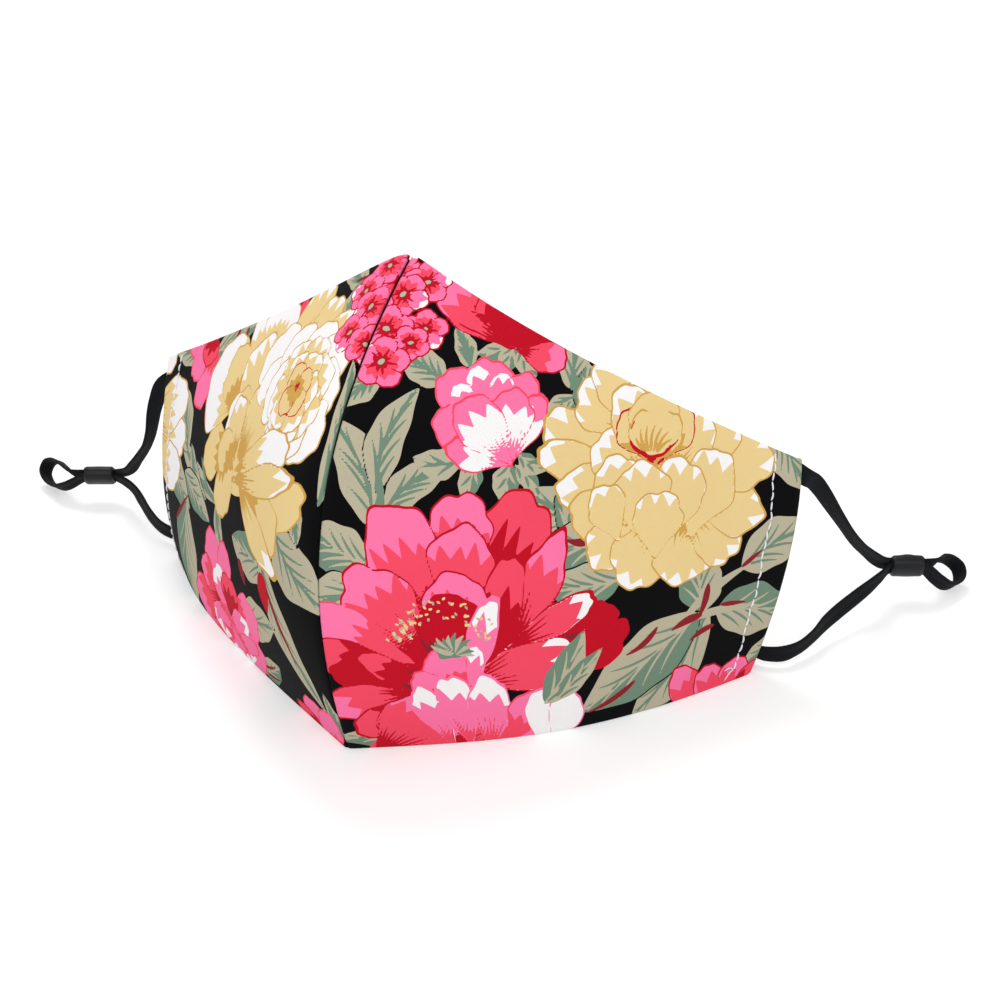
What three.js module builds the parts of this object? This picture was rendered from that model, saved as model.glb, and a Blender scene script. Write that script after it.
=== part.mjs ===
// Cloth face mask with two curved panels and two adjustable ear loops.
// Millimetres, +Z up. The mask stands on its bottom edge and faces -Y.
// The seam between the panels lies in the plane X = 0; +X is the right-hand side seen from the front.
// Both sides are worked out with X measured outwards from the seam; the left side is then mirrored.

import * as THREE from 'three';

// Cloth panels
const WALL = 1.5;             // two layers of cotton and their filling
const SEAM_GAP = 0.3;         // between the two panels along the seam
const NOSE = { y: 48.2, z: 120.7 };
const SEAM_BOW = [{ y: -23.5, z: 56 }, { y: -20, z: 94 }];   // control points from chin to nose
const TOP_BOW = [{ x: 1.5, y: 45.5, z: 126 }, { x: 19.5, y: 41.5, z: 108.5 }];
const TOP_CORNER = { x: 97, y: 85.9, z: 62.4 };
const RIDGE_ROUNDING = 3;     // how far the cloth swells beside the seam
const RIDGE_PEAK = 0.2;       // share of the width where it swells most
const CENTRE_Y = 37.8;        // from the chin to the middle of the mask's depth

// What differs between the two sides: the lower corner, the side's bow and the bottom edge's bow
const SIDES = {
  right: {
    sign: 1,
    lowCorner: { x: 89, y: 76.2 },
    sideBow: { x: 100, y: 84.4, z: 35.5 },
    bottomBow: [{ x: 40, y: 19.5 }, { x: 58.5, y: 29.5 }],
  },
  left: {
    sign: -1,
    lowCorner: { x: 93, y: 79.8 },
    sideBow: { x: 100, y: 76, z: 20.5 },
    bottomBow: [{ x: 52, y: 35.5 }, { x: 76, y: 52 }],
  },
};

// Channel for the elastic: the side of the cloth folded back inside and sewn down
const CHANNEL_DEPTH = 2;      // clear depth for the elastic
const CHANNEL_WIDTH = 5;      // flat part behind the fold
const CHANNEL_CLOSE = 1.3;    // over this width the flap comes down onto the panel
const FLAP_WIDTH = 8;
const FLAP_GAP = 0.3;         // between the sewn flap and the panel
const FLAP_TOP_DROP = 3;      // the flap's top end lies lower than the corner
const FLAP_TOP_SLOPE = 1.08;
const FLAP_LOW_RISE = 2.4;
const FLAP_LOW_SLOPE = 1.06;
const FOLD_RADIUS = (CHANNEL_DEPTH + WALL) / 2;
const SIDE_HEIGHT = 63;
const PANEL_WIDTH = 116;

// Flat elastic
const BAND_WIDTH = 5;
const BAND_THICK = 0.9;
const WRAP_CLEAR = 0.6;        // between the band and the flap's end that it turns over
const STRAND_GAP = 0.5;        // between the two strands in the slider
const BAND_DEPTH_IN = 1.9;    // the band's middle, inwards from the start of the fold
const BAND_STEPS = 78;
const WRAP_STEPS = 6;
const JOIN_TOP = 0.55;        // share of the side's height where the band's two ends meet
const JOIN_LOW = 0.54;
const CHANNEL_ROWS = 3;

// Size adjuster: a soft oval tube that both strands pass through
const SLIDER = { length: 9.4, width: 7.7, height: 5, bevel: 0.25 };
const SLIDER_SLOT = { width: 6.3, height: 3.6 };

// Free rows of each ear loop, outside the channel and the slider. x, y, z is the band's middle;
// wx, wy, wz points across its width.
const LOOPS = {
  right: {
    slider: { near: [114.3, 130.3, 11.5], far: [123.5, 133.9, 11.5], across: [0.17, -0.44, 0.88] },
    upper: [
      { x: 96.2, y: 92.4, z: 54.6, wx: 0.38, wy: 0.47, wz: 0.8 },
      { x: 97.7, y: 96.0, z: 51.8, wx: 0.64, wy: 0.39, wz: 0.66 },
      { x: 99.3, y: 99.2, z: 47.7, wx: 0.9, wy: 0.15, wz: 0.42 },
      { x: 101.9, y: 104.7, z: 39.7, wx: 0.96, wy: -0.16, wz: 0.21 },
      { x: 104.7, y: 110.4, z: 31.5, wx: 0.95, wy: -0.31, wz: 0.11 },
      { x: 107.2, y: 115.7, z: 24.7, wx: 0.95, wy: -0.24, wz: 0.2 },
      { x: 109.8, y: 121.3, z: 19.1, wx: 0.83, wy: -0.2, wz: 0.42 },
      { x: 111.9, y: 126.4, z: 14.6, wx: 0.55, wy: -0.25, wz: 0.7 },
    ],
    end: [
      { x: 125.8, y: 137.4, z: 11.2, wx: 0.5, wy: -0.25, wz: 0.83 },
      { x: 126.8, y: 143.2, z: 10.0, wx: 0.66, wy: -0.14, wz: 0.74 },
      { x: 128.8, y: 147.6, z: 7.5, wx: 0.73, wy: -0.09, wz: 0.67 },
      { x: 131.2, y: 148.8, z: 4.9, wx: 0.73, wy: -0.09, wz: 0.67 },
      { x: 132.4, y: 146.3, z: 3.2, wx: 0.73, wy: -0.09, wz: 0.67 },
      { x: 131.9, y: 142.3, z: 2.7, wx: 0.73, wy: -0.09, wz: 0.67 },
      { x: 130.0, y: 138.4, z: 3.9, wx: 0.69, wy: -0.12, wz: 0.7 },
      { x: 127.4, y: 135.8, z: 6.9, wx: 0.45, wy: -0.28, wz: 0.83 },
    ],
    lower: [
      { x: 113.0, y: 124.6, z: 10.6, wx: 0.12, wy: -0.25, wz: 0.96 },
      { x: 111.1, y: 119.4, z: 9.8, wx: -0.05, wy: -0.14, wz: 0.99 },
      { x: 108.3, y: 113.3, z: 8.6, wx: -0.19, wy: -0.09, wz: 0.98 },
      { x: 105.2, y: 106.0, z: 7.4, wx: -0.22, wy: -0.08, wz: 0.97 },
      { x: 102.8, y: 99.8, z: 6.2, wx: -0.15, wy: -0.12, wz: 0.98 },
      { x: 101.1, y: 93.0, z: 5.2, wx: 0.05, wy: -0.14, wz: 0.99 },
      { x: 98.6, y: 86.8, z: 4.4, wx: 0.08, wy: -0.15, wz: 0.98 },
      { x: 95.2, y: 82.4, z: 4.2, wx: -0.07, wy: -0.06, wz: 1.0 },
      { x: 90.6, y: 80.7, z: 4.2, wx: -0.07, wy: -0.15, wz: 0.98 },
      { x: 85.6, y: 80.6, z: 4.6, wx: -0.25, wy: -0.25, wz: 0.94 },
    ],
  },
  left: {
    slider: { near: [127.8, 102.7, 9.8], far: [138.4, 98.5, 9.8], across: [-0.235, -0.598, 0.765] },
    upper: [
      { x: 95.2, y: 90.6, z: 55.0, wx: 0.4, wy: 0.35, wz: 0.83 },
      { x: 101.8, y: 91.4, z: 50.6, wx: 0.76, wy: -0.42, wz: 0.5 },
      { x: 105.2, y: 92.7, z: 44.5, wx: 0.73, wy: -0.64, wz: 0.22 },
      { x: 107.3, y: 93.6, z: 39.1, wx: 0.55, wy: -0.83, wz: 0.06 },
      { x: 109.0, y: 94.4, z: 33.0, wx: 0.34, wy: -0.94, wz: -0.02 },
      { x: 111.1, y: 95.3, z: 27.8, wx: 0.32, wy: -0.95, wz: -0.05 },
      { x: 114.2, y: 96.7, z: 23.2, wx: 0.43, wy: -0.9, wz: 0.02 },
      { x: 118.2, y: 98.5, z: 18.2, wx: 0.4, wy: -0.85, wz: 0.2 },
      { x: 122.2, y: 100.5, z: 13.7, wx: 0.1, wy: -0.75, wz: 0.6 },
    ],
    end: [
      { x: 142.2, y: 98.9, z: 9.9, wx: 0.05, wy: -0.66, wz: 0.74 },
      { x: 147.4, y: 102.2, z: 9.9, wx: 0.3, wy: -0.69, wz: 0.65 },
      { x: 152.6, y: 105.8, z: 9.2, wx: 0.43, wy: -0.69, wz: 0.58 },
      { x: 156.4, y: 107.4, z: 6.9, wx: 0.43, wy: -0.69, wz: 0.58 },
      { x: 157.3, y: 106.4, z: 4.2, wx: 0.43, wy: -0.69, wz: 0.58 },
      { x: 154.6, y: 103.6, z: 2.7, wx: 0.43, wy: -0.69, wz: 0.58 },
      { x: 149.4, y: 100.2, z: 2.9, wx: 0.4, wy: -0.7, wz: 0.6 },
      { x: 143.8, y: 97.6, z: 5.6, wx: 0.1, wy: -0.68, wz: 0.73 },
    ],
    lower: [
      { x: 124.6, y: 101.5, z: 8.6, wx: -0.11, wy: -0.43, wz: 0.9 },
      { x: 121.0, y: 100.0, z: 7.8, wx: -0.1, wy: -0.29, wz: 0.95 },
      { x: 116.6, y: 96.7, z: 6.6, wx: -0.15, wy: -0.08, wz: 0.99 },
      { x: 108.8, y: 89.6, z: 5.2, wx: -0.1, wy: -0.08, wz: 0.99 },
      { x: 102.6, y: 85.4, z: 4.4, wx: -0.06, wy: -0.16, wz: 0.99 },
      { x: 97.4, y: 83.8, z: 4.2, wx: -0.06, wy: -0.22, wz: 0.97 },
      { x: 89.6, y: 84.3, z: 4.6, wx: -0.25, wy: -0.25, wz: 0.94 },
    ],
  },
};

// Mesh fineness
const WALL_COLUMNS = 20;
const FOLD_COLUMNS = 6;
const FLAP_COLUMNS = 7;
const ROWS = 20;
const STEP = 0.002;           // for slopes taken from small differences

const SWELL = new THREE.Vector3(0.7, -0.7, 0.1);

const vector = ({ x = SEAM_GAP / 2, y = 0, z = 0 }) => new THREE.Vector3(x, y, z);
const fromArray = (values) => new THREE.Vector3(...values);
const smooth = (t) => THREE.MathUtils.smoothstep(t, 0, 1);
const alongBy = (point, direction, distance) => point.clone().addScaledVector(direction, distance);

// Returns point(u, v) on the outside of one panel: u from the seam to the side, v from bottom to top.
function panelSurface(side) {
  const chin = vector({});
  const nose = vector(NOSE);
  const topCorner = vector(TOP_CORNER);
  const lowCorner = vector(side.lowCorner);
  const seam = new THREE.CubicBezierCurve3(chin, ...SEAM_BOW.map(vector), nose);
  const top = new THREE.CubicBezierCurve3(nose, ...TOP_BOW.map(vector), topCorner);
  const bottom = new THREE.CubicBezierCurve3(chin, ...side.bottomBow.map(vector), lowCorner);
  const edge = new THREE.QuadraticBezierCurve3(lowCorner, vector(side.sideBow), topCorner);
  const peak = RIDGE_PEAK * (1 - RIDGE_PEAK) ** 4;

  return (u, v) => {
    const point = new THREE.Vector3();
    point.addScaledVector(seam.getPointAt(v), 1 - u).addScaledVector(edge.getPointAt(v), u);
    point.addScaledVector(bottom.getPointAt(u), 1 - v).addScaledVector(top.getPointAt(u), v);
    point.addScaledVector(chin, -(1 - u) * (1 - v)).addScaledVector(lowCorner, -u * (1 - v));
    point.addScaledVector(nose, -(1 - u) * v).addScaledVector(topCorner, -u * v);
    const swell = RIDGE_ROUNDING * u * (1 - u) ** 4 / peak * Math.sin(Math.PI * v);
    return point.addScaledVector(SWELL, swell);
  };
}

// Directions on the panel at (u, v): across, along and outwards. They lie flat on the bottom edge.
function panelFrame(surface, u, v) {
  const u0 = Math.max(u - STEP, 0);
  const v0 = Math.max(v - STEP, 0);
  const u1 = Math.min(u0 + 2 * STEP, 1);
  const v1 = Math.min(v0 + 2 * STEP, 1);
  const across = surface(u1, v).sub(surface(u1 - 2 * STEP, v));
  const along = surface(u, v1).sub(surface(u, v1 - 2 * STEP));
  const out = across.clone().cross(along);
  if (v <= 0) out.z = 0;
  if (u <= 0) out.x = 0;
  out.normalize();
  across.addScaledVector(out, -across.dot(out)).normalize();
  along.addScaledVector(out, -along.dot(out)).normalize();
  return { across, along, out };
}

const foldStart = 1 - (FOLD_RADIUS + WALL / 2) / PANEL_WIDTH;
const flapTop = (inwards) => 1 - (FLAP_TOP_DROP + FLAP_TOP_SLOPE * inwards) / SIDE_HEIGHT;
const flapLow = (inwards) => (FLAP_LOW_RISE + FLAP_LOW_SLOPE * inwards) / SIDE_HEIGHT;

// Middle of the folded-back flap and its outward direction, which faces the wearer.
function flapPoint(surface, inwards, v) {
  const u = foldStart - inwards / PANEL_WIDTH;
  const { out } = panelFrame(surface, u, v);
  const closed = smooth((inwards - CHANNEL_WIDTH) / CHANNEL_CLOSE);
  const gap = THREE.MathUtils.lerp(2 * FOLD_RADIUS, WALL + FLAP_GAP, closed);
  return { middle: alongBy(surface(u, v), out, -(WALL / 2 + gap)), out: out.negate() };
}

// Middle of the cloth where it turns round the side edge; turn runs from 0 to half a turn.
function foldPoint(surface, turn, v) {
  const past = smooth(Math.max(2 * turn / Math.PI - 1, 0));
  const height = THREE.MathUtils.lerp(past * flapLow(0), 1 - past * (1 - flapTop(0)), v);
  const { across, out } = panelFrame(surface, foldStart, height);
  const centre = alongBy(surface(foldStart, height), out, -(WALL / 2 + FOLD_RADIUS));
  const direction = out.multiplyScalar(Math.cos(turn)).addScaledVector(across, Math.sin(turn));
  return { middle: alongBy(centre, direction, FOLD_RADIUS), out: direction };
}

// One column of the cloth, from bottom to top, as points on its outside and inside.
function panelColumns(surface) {
  const column = (pointAt) => {
    const points = Array.from({ length: ROWS + 1 }, (_, j) => pointAt(j / ROWS));
    return {
      outside: points.map(({ middle, out }) => alongBy(middle, out, WALL / 2)),
      inside: points.map(({ middle, out }) => alongBy(middle, out, -WALL / 2)),
    };
  };
  const columns = [];
  for (let i = 0; i <= WALL_COLUMNS; i += 1) {
    const u = foldStart * i / WALL_COLUMNS;
    columns.push(column((v) => {
      const { out } = panelFrame(surface, u, v);
      return { middle: alongBy(surface(u, v), out, -WALL / 2), out };
    }));
  }
  for (let i = 1; i <= FOLD_COLUMNS; i += 1) {
    columns.push(column((v) => foldPoint(surface, Math.PI * i / FOLD_COLUMNS, v)));
  }
  for (let i = 1; i <= FLAP_COLUMNS; i += 1) {
    const inwards = FLAP_WIDTH * i / FLAP_COLUMNS;
    const low = flapLow(inwards);
    const high = flapTop(inwards);
    columns.push(column((v) => flapPoint(surface, inwards, low + (high - low) * v)));
  }
  return columns;
}

// A closed sheet from columns of outside and inside points.
function sheetGeometry(columns) {
  const positions = [];
  const index = [];
  columns.forEach(({ outside, inside }) => {
    outside.forEach((point) => positions.push(...point.toArray()));
    inside.forEach((point) => positions.push(...point.toArray()));
  });
  const count = ROWS + 1;
  const outer = (i, j) => i * 2 * count + j;
  const inner = (i, j) => outer(i, j) + count;
  const quad = (a, b, c, d) => index.push(a, b, c, a, c, d);
  const last = columns.length - 1;
  for (let i = 0; i < last; i += 1) {
    for (let j = 0; j < ROWS; j += 1) {
      quad(outer(i, j), outer(i + 1, j), outer(i + 1, j + 1), outer(i, j + 1));
      quad(inner(i, j), inner(i, j + 1), inner(i + 1, j + 1), inner(i + 1, j));
    }
    quad(inner(i, 0), inner(i + 1, 0), outer(i + 1, 0), outer(i, 0));
    quad(outer(i, ROWS), outer(i + 1, ROWS), inner(i + 1, ROWS), inner(i, ROWS));
  }
  for (let j = 0; j < ROWS; j += 1) {
    quad(inner(0, j), outer(0, j), outer(0, j + 1), inner(0, j + 1));
    quad(outer(last, j), inner(last, j), inner(last, j + 1), outer(last, j + 1));
  }
  const geometry = new THREE.BufferGeometry();
  geometry.setAttribute('position', new THREE.Float32BufferAttribute(positions, 3));
  geometry.setIndex(index);
  return geometry;
}

// Rows of the band inside the channel, from where its ends meet to a mouth of the channel.
// heading is +1 towards the top end and -1 towards the bottom end.
function channelRows(surface, from, mouth, heading) {
  const u = foldStart - BAND_DEPTH_IN / PANEL_WIDTH;
  return Array.from({ length: CHANNEL_ROWS }, (_, k) => {
    const v = THREE.MathUtils.lerp(from, mouth, k / CHANNEL_ROWS);
    const { across, out } = panelFrame(surface, u, v);
    const point = alongBy(surface(u, v), out, -(WALL / 2 + FOLD_RADIUS));
    return { point, width: across.multiplyScalar(heading) };
  });
}

// Rows of the band where it turns over the flap's sloping end and comes out behind the fold.
function wrapRows(surface, endOf, heading) {
  const centre = flapPoint(surface, BAND_DEPTH_IN, endOf(BAND_DEPTH_IN)).middle;
  const outer = flapPoint(surface, BAND_DEPTH_IN - 1, endOf(BAND_DEPTH_IN - 1)).middle;
  const line = outer.sub(centre).normalize();
  const u = foldStart - BAND_DEPTH_IN / PANEL_WIDTH;
  const { along, out } = panelFrame(surface, u, endOf(BAND_DEPTH_IN));
  const strip = along.multiplyScalar(heading);
  const slope = strip.dot(line);
  const over = alongBy(strip, line, -slope).normalize();
  const radius = WALL / 2 + WRAP_CLEAR + BAND_THICK / 2;
  const advance = radius * slope / Math.sqrt(1 - slope ** 2);
  return Array.from({ length: WRAP_STEPS + 1 }, (_, k) => {
    const turn = Math.PI * k / WRAP_STEPS;
    const away = out.clone().multiplyScalar(Math.cos(turn)).addScaledVector(over, Math.sin(turn));
    const point = alongBy(alongBy(centre, away, radius), line, advance * (turn - Math.PI / 2));
    const tangent = line.clone().multiplyScalar(slope);
    tangent.addScaledVector(out, -Math.sin(turn) * Math.sqrt(1 - slope ** 2));
    tangent.addScaledVector(over, Math.cos(turn) * Math.sqrt(1 - slope ** 2));
    return { point, width: tangent.cross(away).normalize() };
  });
}

const tableRows = (rows) => rows.map(({ x, y, z, wx, wy, wz }) => (
  { point: new THREE.Vector3(x, y, z), width: new THREE.Vector3(wx, wy, wz) }
));

// The slider's place, and its axis, width and thickness directions.
function sliderFrame({ near, far, across }) {
  const start = fromArray(near);
  const axis = fromArray(far).sub(start).normalize();
  const width = fromArray(across);
  width.addScaledVector(axis, -width.dot(axis)).normalize();
  const thickness = axis.clone().cross(width);
  if (thickness.z < 0) {
    thickness.negate();
    width.negate();
  }
  const centre = fromArray(near).add(fromArray(far)).multiplyScalar(0.5);
  return { centre, axis, width, thickness };
}

// Rows of a strand through the slider; lift is +1 for the upper strand, -1 for the lower.
function sliderRows(frame, lift, across) {
  const offset = lift * (BAND_THICK + STRAND_GAP) / 2;
  const reach = SLIDER.length / 2;
  const middle = alongBy(frame.centre, frame.thickness, offset);
  return [-reach, 0, reach].map((distance) => (
    { point: alongBy(middle, frame.axis, distance), width: across }
  ));
}

// The whole band: channel, top mouth, upper strand, slider, end loop, slider, lower strand, channel.
function bandRows(surface, loop) {
  const frame = sliderFrame(loop.slider);
  const across = fromArray(loop.slider.across);
  const topMouth = flapTop(BAND_DEPTH_IN);
  const lowMouth = flapLow(BAND_DEPTH_IN);
  return [
    ...channelRows(surface, JOIN_TOP, topMouth, 1),
    ...wrapRows(surface, flapTop, 1),
    ...tableRows(loop.upper),
    ...sliderRows(frame, 1, across),
    ...tableRows(loop.end),
    ...sliderRows(frame, -1, across).reverse(),
    ...tableRows(loop.lower),
    ...wrapRows(surface, flapLow, -1).reverse(),
    ...channelRows(surface, JOIN_LOW, lowMouth, -1).reverse(),
  ];
}

// A path for ExtrudeGeometry whose frames follow the band's width.
class BandPath extends THREE.Curve {
  constructor(rows) {
    super();
    this.middle = new THREE.CatmullRomCurve3(rows.map((row) => row.point));
    this.widths = new THREE.CatmullRomCurve3(rows.map((row) => row.width));
  }

  getPoint(t) {
    return this.middle.getPoint(t);
  }

  getSpacedPoints(steps) {
    return this.getPoints(steps);
  }

  computeFrenetFrames(steps) {
    const frames = { tangents: [], normals: [], binormals: [] };
    for (let i = 0; i <= steps; i += 1) {
      const tangent = this.middle.getTangent(i / steps);
      const width = this.widths.getPoint(i / steps);
      width.addScaledVector(tangent, -width.dot(tangent)).normalize();
      frames.tangents.push(tangent);
      frames.normals.push(width);
      frames.binormals.push(tangent.clone().cross(width));
    }
    return frames;
  }
}

// The elastic's section: a flat strip with rounded edges, eight sides.
function bandSection() {
  const half = BAND_WIDTH / 2;
  const thick = BAND_THICK / 2;
  const edge = thick / 2;
  return new THREE.Shape([
    [half, -edge], [half, edge], [half - edge, thick], [edge - half, thick],
    [-half, edge], [-half, -edge], [edge - half, -thick], [half - edge, -thick],
  ].map(([x, y]) => new THREE.Vector2(x, y)));
}

function bandGeometry(surface, loop) {
  const extrudePath = new BandPath(bandRows(surface, loop));
  return new THREE.ExtrudeGeometry(bandSection(), { steps: BAND_STEPS, extrudePath });
}

// A shape or hole with straight sides and round ends.
function rounded(path, width, height) {
  const radius = height / 2;
  const reach = width / 2 - radius;
  path.absarc(reach, 0, radius, -Math.PI / 2, Math.PI / 2, false);
  path.absarc(-reach, 0, radius, Math.PI / 2, 3 * Math.PI / 2, false);
  return path;
}

function sliderGeometry({ slider }) {
  const { length, width, height, bevel } = SLIDER;
  const outline = rounded(new THREE.Shape(), width - 2 * bevel, height - 2 * bevel);
  const slot = rounded(new THREE.Path(), SLIDER_SLOT.width + 2 * bevel, SLIDER_SLOT.height + 2 * bevel);
  outline.holes.push(slot);
  const depth = length - 2 * bevel;
  const geometry = new THREE.ExtrudeGeometry(outline, {
    depth, bevelThickness: bevel, bevelSize: bevel, bevelSegments: 2, curveSegments: 8,
  });
  geometry.translate(0, 0, -depth / 2);
  const frame = sliderFrame(slider);
  const turn = new THREE.Matrix4().makeBasis(frame.width, frame.thickness, frame.axis);
  if (turn.determinant() < 0) turn.makeBasis(frame.width.negate(), frame.thickness, frame.axis);
  return geometry.applyMatrix4(turn.setPosition(frame.centre));
}

// Moves a side's geometry into the mask's frame, mirrored for the left side.
function placed(geometry, sign) {
  const plain = geometry.index ? geometry.toNonIndexed() : geometry;
  plain.deleteAttribute('normal');
  plain.deleteAttribute('uv');
  const points = plain.getAttribute('position');
  if (sign < 0) {
    for (let i = 0; i < points.count; i += 3) {
      const first = new THREE.Vector3().fromBufferAttribute(points, i);
      const second = new THREE.Vector3().fromBufferAttribute(points, i + 1);
      points.setXYZ(i, second.x, second.y, second.z);
      points.setXYZ(i + 1, first.x, first.y, first.z);
    }
  }
  plain.scale(sign, 1, 1).translate(0, -CENTRE_Y, 0);
  plain.computeVertexNormals();
  return plain;
}

const printedCloth = new THREE.MeshStandardMaterial({ color: 0x2a2326, roughness: 0.9 });
const blackElastic = new THREE.MeshStandardMaterial({ color: 0x15171a, roughness: 0.85 });
const softPlastic = new THREE.MeshStandardMaterial({ color: 0x1b1d21, roughness: 0.45 });

const mask = new THREE.Group();

Object.entries(SIDES).forEach(([name, side]) => {
  const surface = panelSurface(side);
  const pieces = [
    ['panel', sheetGeometry(panelColumns(surface)), printedCloth],
    ['elastic', bandGeometry(surface, LOOPS[name]), blackElastic],
    ['slider', sliderGeometry(LOOPS[name]), softPlastic],
  ];
  pieces.forEach(([piece, geometry, material]) => {
    const mesh = new THREE.Mesh(placed(geometry, side.sign), material);
    mesh.name = `${piece}_${name}`;
    mask.add(mesh);
  });
});

export default mask;
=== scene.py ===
"""Looks of a cloth face mask with a floral print and two adjustable ear loops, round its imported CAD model."""

import math

import bpy
import numpy as np
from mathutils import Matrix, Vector


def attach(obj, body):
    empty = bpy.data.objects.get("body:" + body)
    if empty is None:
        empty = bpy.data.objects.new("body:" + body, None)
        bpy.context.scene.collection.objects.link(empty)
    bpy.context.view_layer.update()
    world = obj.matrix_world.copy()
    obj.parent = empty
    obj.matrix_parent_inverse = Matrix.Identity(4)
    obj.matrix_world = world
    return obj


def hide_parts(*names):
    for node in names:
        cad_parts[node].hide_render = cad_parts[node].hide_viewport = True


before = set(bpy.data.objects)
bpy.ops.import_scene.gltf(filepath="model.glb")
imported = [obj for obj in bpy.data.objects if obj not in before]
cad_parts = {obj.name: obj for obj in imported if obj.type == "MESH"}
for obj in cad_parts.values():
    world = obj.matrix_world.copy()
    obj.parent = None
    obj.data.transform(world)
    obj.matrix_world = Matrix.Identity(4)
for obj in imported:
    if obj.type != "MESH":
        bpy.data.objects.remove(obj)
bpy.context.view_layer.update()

MM = 0.001

# Camera, at the photograph's place and lens
CAMERA_AT = (0.2148, -0.4743, 0.3206)
CAMERA_TURN = math.radians(21.469)
CAMERA_TILT = math.radians(27)
CAMERA_LENS = 79.254
SENSOR = 36

# Panel form, in millimetres from the chin, X outwards on both sides (the CAD model's own sizes)
SEAM_X = 0.15
NOSE = (SEAM_X, 48.2, 120.7)
SEAM_BOW = [(SEAM_X, -23.5, 56), (SEAM_X, -20, 94)]
TOP_BOW = [(1.5, 45.5, 126), (19.5, 41.5, 108.5)]
TOP_CORNER = (97, 85.9, 62.4)
CHIN = (SEAM_X, 0, 0)
CENTRE_Y = 37.8
WALL = 1.5
SWELL = (0.7, -0.7, 0.1)
SWELL_SIZE = 3
SWELL_PEAK = 0.2
SIDES = {
    "right": {
        "sign": 1,
        "low_corner": (89, 76.2, 0),
        "side_bow": (100, 84.4, 35.5),
        "bottom_bow": [(40, 19.5, 0), (58.5, 29.5, 0)],
    },
    "left": {
        "sign": -1,
        "low_corner": (93, 79.8, 0),
        "side_bow": (100, 76, 20.5),
        "bottom_bow": [(52, 35.5, 0), (76, 52, 0)],
    },
}

# Channel for the elastic
CHANNEL_DEPTH = 2
CHANNEL_WIDTH = 5
CHANNEL_CLOSE = 1.3
FLAP_WIDTH = 8
FLAP_GAP = 0.3
FLAP_TOP = (3, 1.08)
FLAP_LOW = (2.4, 1.06)
FOLD_RADIUS = (CHANNEL_DEPTH + WALL) / 2
SIDE_HEIGHT = 63
PANEL_WIDTH = 116
FOLD_START = 1 - (FOLD_RADIUS + WALL / 2) / PANEL_WIDTH

# Elastic
BAND_WIDTH = 5
BAND_THICK = 0.9
WRAP_CLEAR = 0.6
STRAND_GAP = 0.5
BAND_DEPTH_IN = 1.9
BAND_STEPS = 560
JOIN_TOP = 0.55
JOIN_LOW = 0.54
CHANNEL_ROWS = 3
WRAP_STEPS = 6

# Fineness of the cloth
COLUMNS = 288
ROWS = 278
FOLD_COLUMNS = 10
FLAP_COLUMNS = 8
RIM_STEPS = 5
INSIDE_STEPS = 90
STEP = 0.002

# The dip beside the seam: distance from the seam's rim, reach, least and extra depth, pitch, direction
DIP_AT = 0.4
DIP_REACH = 0.9
DIP_DEPTH = (0.16, 0.08)
DIP_PITCH = 3.1
DIP_WAY = (0.0, 0.9, -0.1)

# Stitch line along the side, with loose ends (millimetres inwards, share of the height), weave and seam
STITCH_IN = {"right": 6.6, "left": 9.0}
STITCH_FROM = 4.0
STITCH_TO = 1.0
STITCH_PITCH = 2.5
STITCH_SWAY = 0.16
STITCH_POINTS = 7
LOOSE_ENDS = ((2.2, -0.03), (3.4, 0.02))
THREAD = 0.26
THREAD_SIDES = 6
WEAVE_PITCH = 0.42
WEAVE_RELIEF = 0.00012
SEAM_DEPTH = 0.8
SEAM_ARM = 3.0
SEAM_STEPS = 160

# Slider: outside and hole as half-width and half-height; each mouth as depth and flare
SLIDER_LENGTH = 9.4
SLIDER_HALF = (3.85, 2.35)
SLIDER_ROUND = 0.9
SLIDER_TURNS = 5
SLIDER_HUMP = {"right": 0.55, "left": 0.1}
SLIDER_HOLE = (3.15, 1.8)
SLIDER_MOUTH = (0.6, 0.2)

# Colours, as displayed, and how much darker the inks lie under the studio light
INK_DEPTH = 0.83
INSIDE = (0.93, 0.92, 0.9)
# Elastic: a darker colour painted as shade in the knit's grooves and a lighter one painted as light on its ribs
ELASTIC_GROOVE_SHADE = (0.04, 0.045, 0.055)
ELASTIC_RIB_LIT = (0.13, 0.135, 0.15)
SLIDER_DARK = (0.035, 0.04, 0.05)
SLIDER_LIGHT = (0.065, 0.07, 0.085)
THREAD_DARK = (0.82, 0.82, 0.85)
THREAD_LIGHT = (0.97, 0.97, 0.98)

# Light and floor, the floor's two greys being linear light. Each lamp: name, place, aim, size, power
WHITE = (1, 1, 1, 1)
FLOOR_DARK = (0.54, 0.54, 0.54, 1)
FLOOR_LIGHT = (0.56, 0.56, 0.56, 1)
WORLD_LIGHT = 0.8
FLOOR_GLOW = 0.42
FLOOR_HALF = 4
LIGHTS = [
    ("key", (-0.4, 0.5, 1.3), (0, 0, 0.04), 0.5, 7),
    ("front", (0.1, -1.1, 1.0), (0, 0, 0.04), 1.4, 8),
    ("fill", (0.9, -0.7, 0.7), (0, 0, 0.04), 1.2, 3),
]

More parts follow.
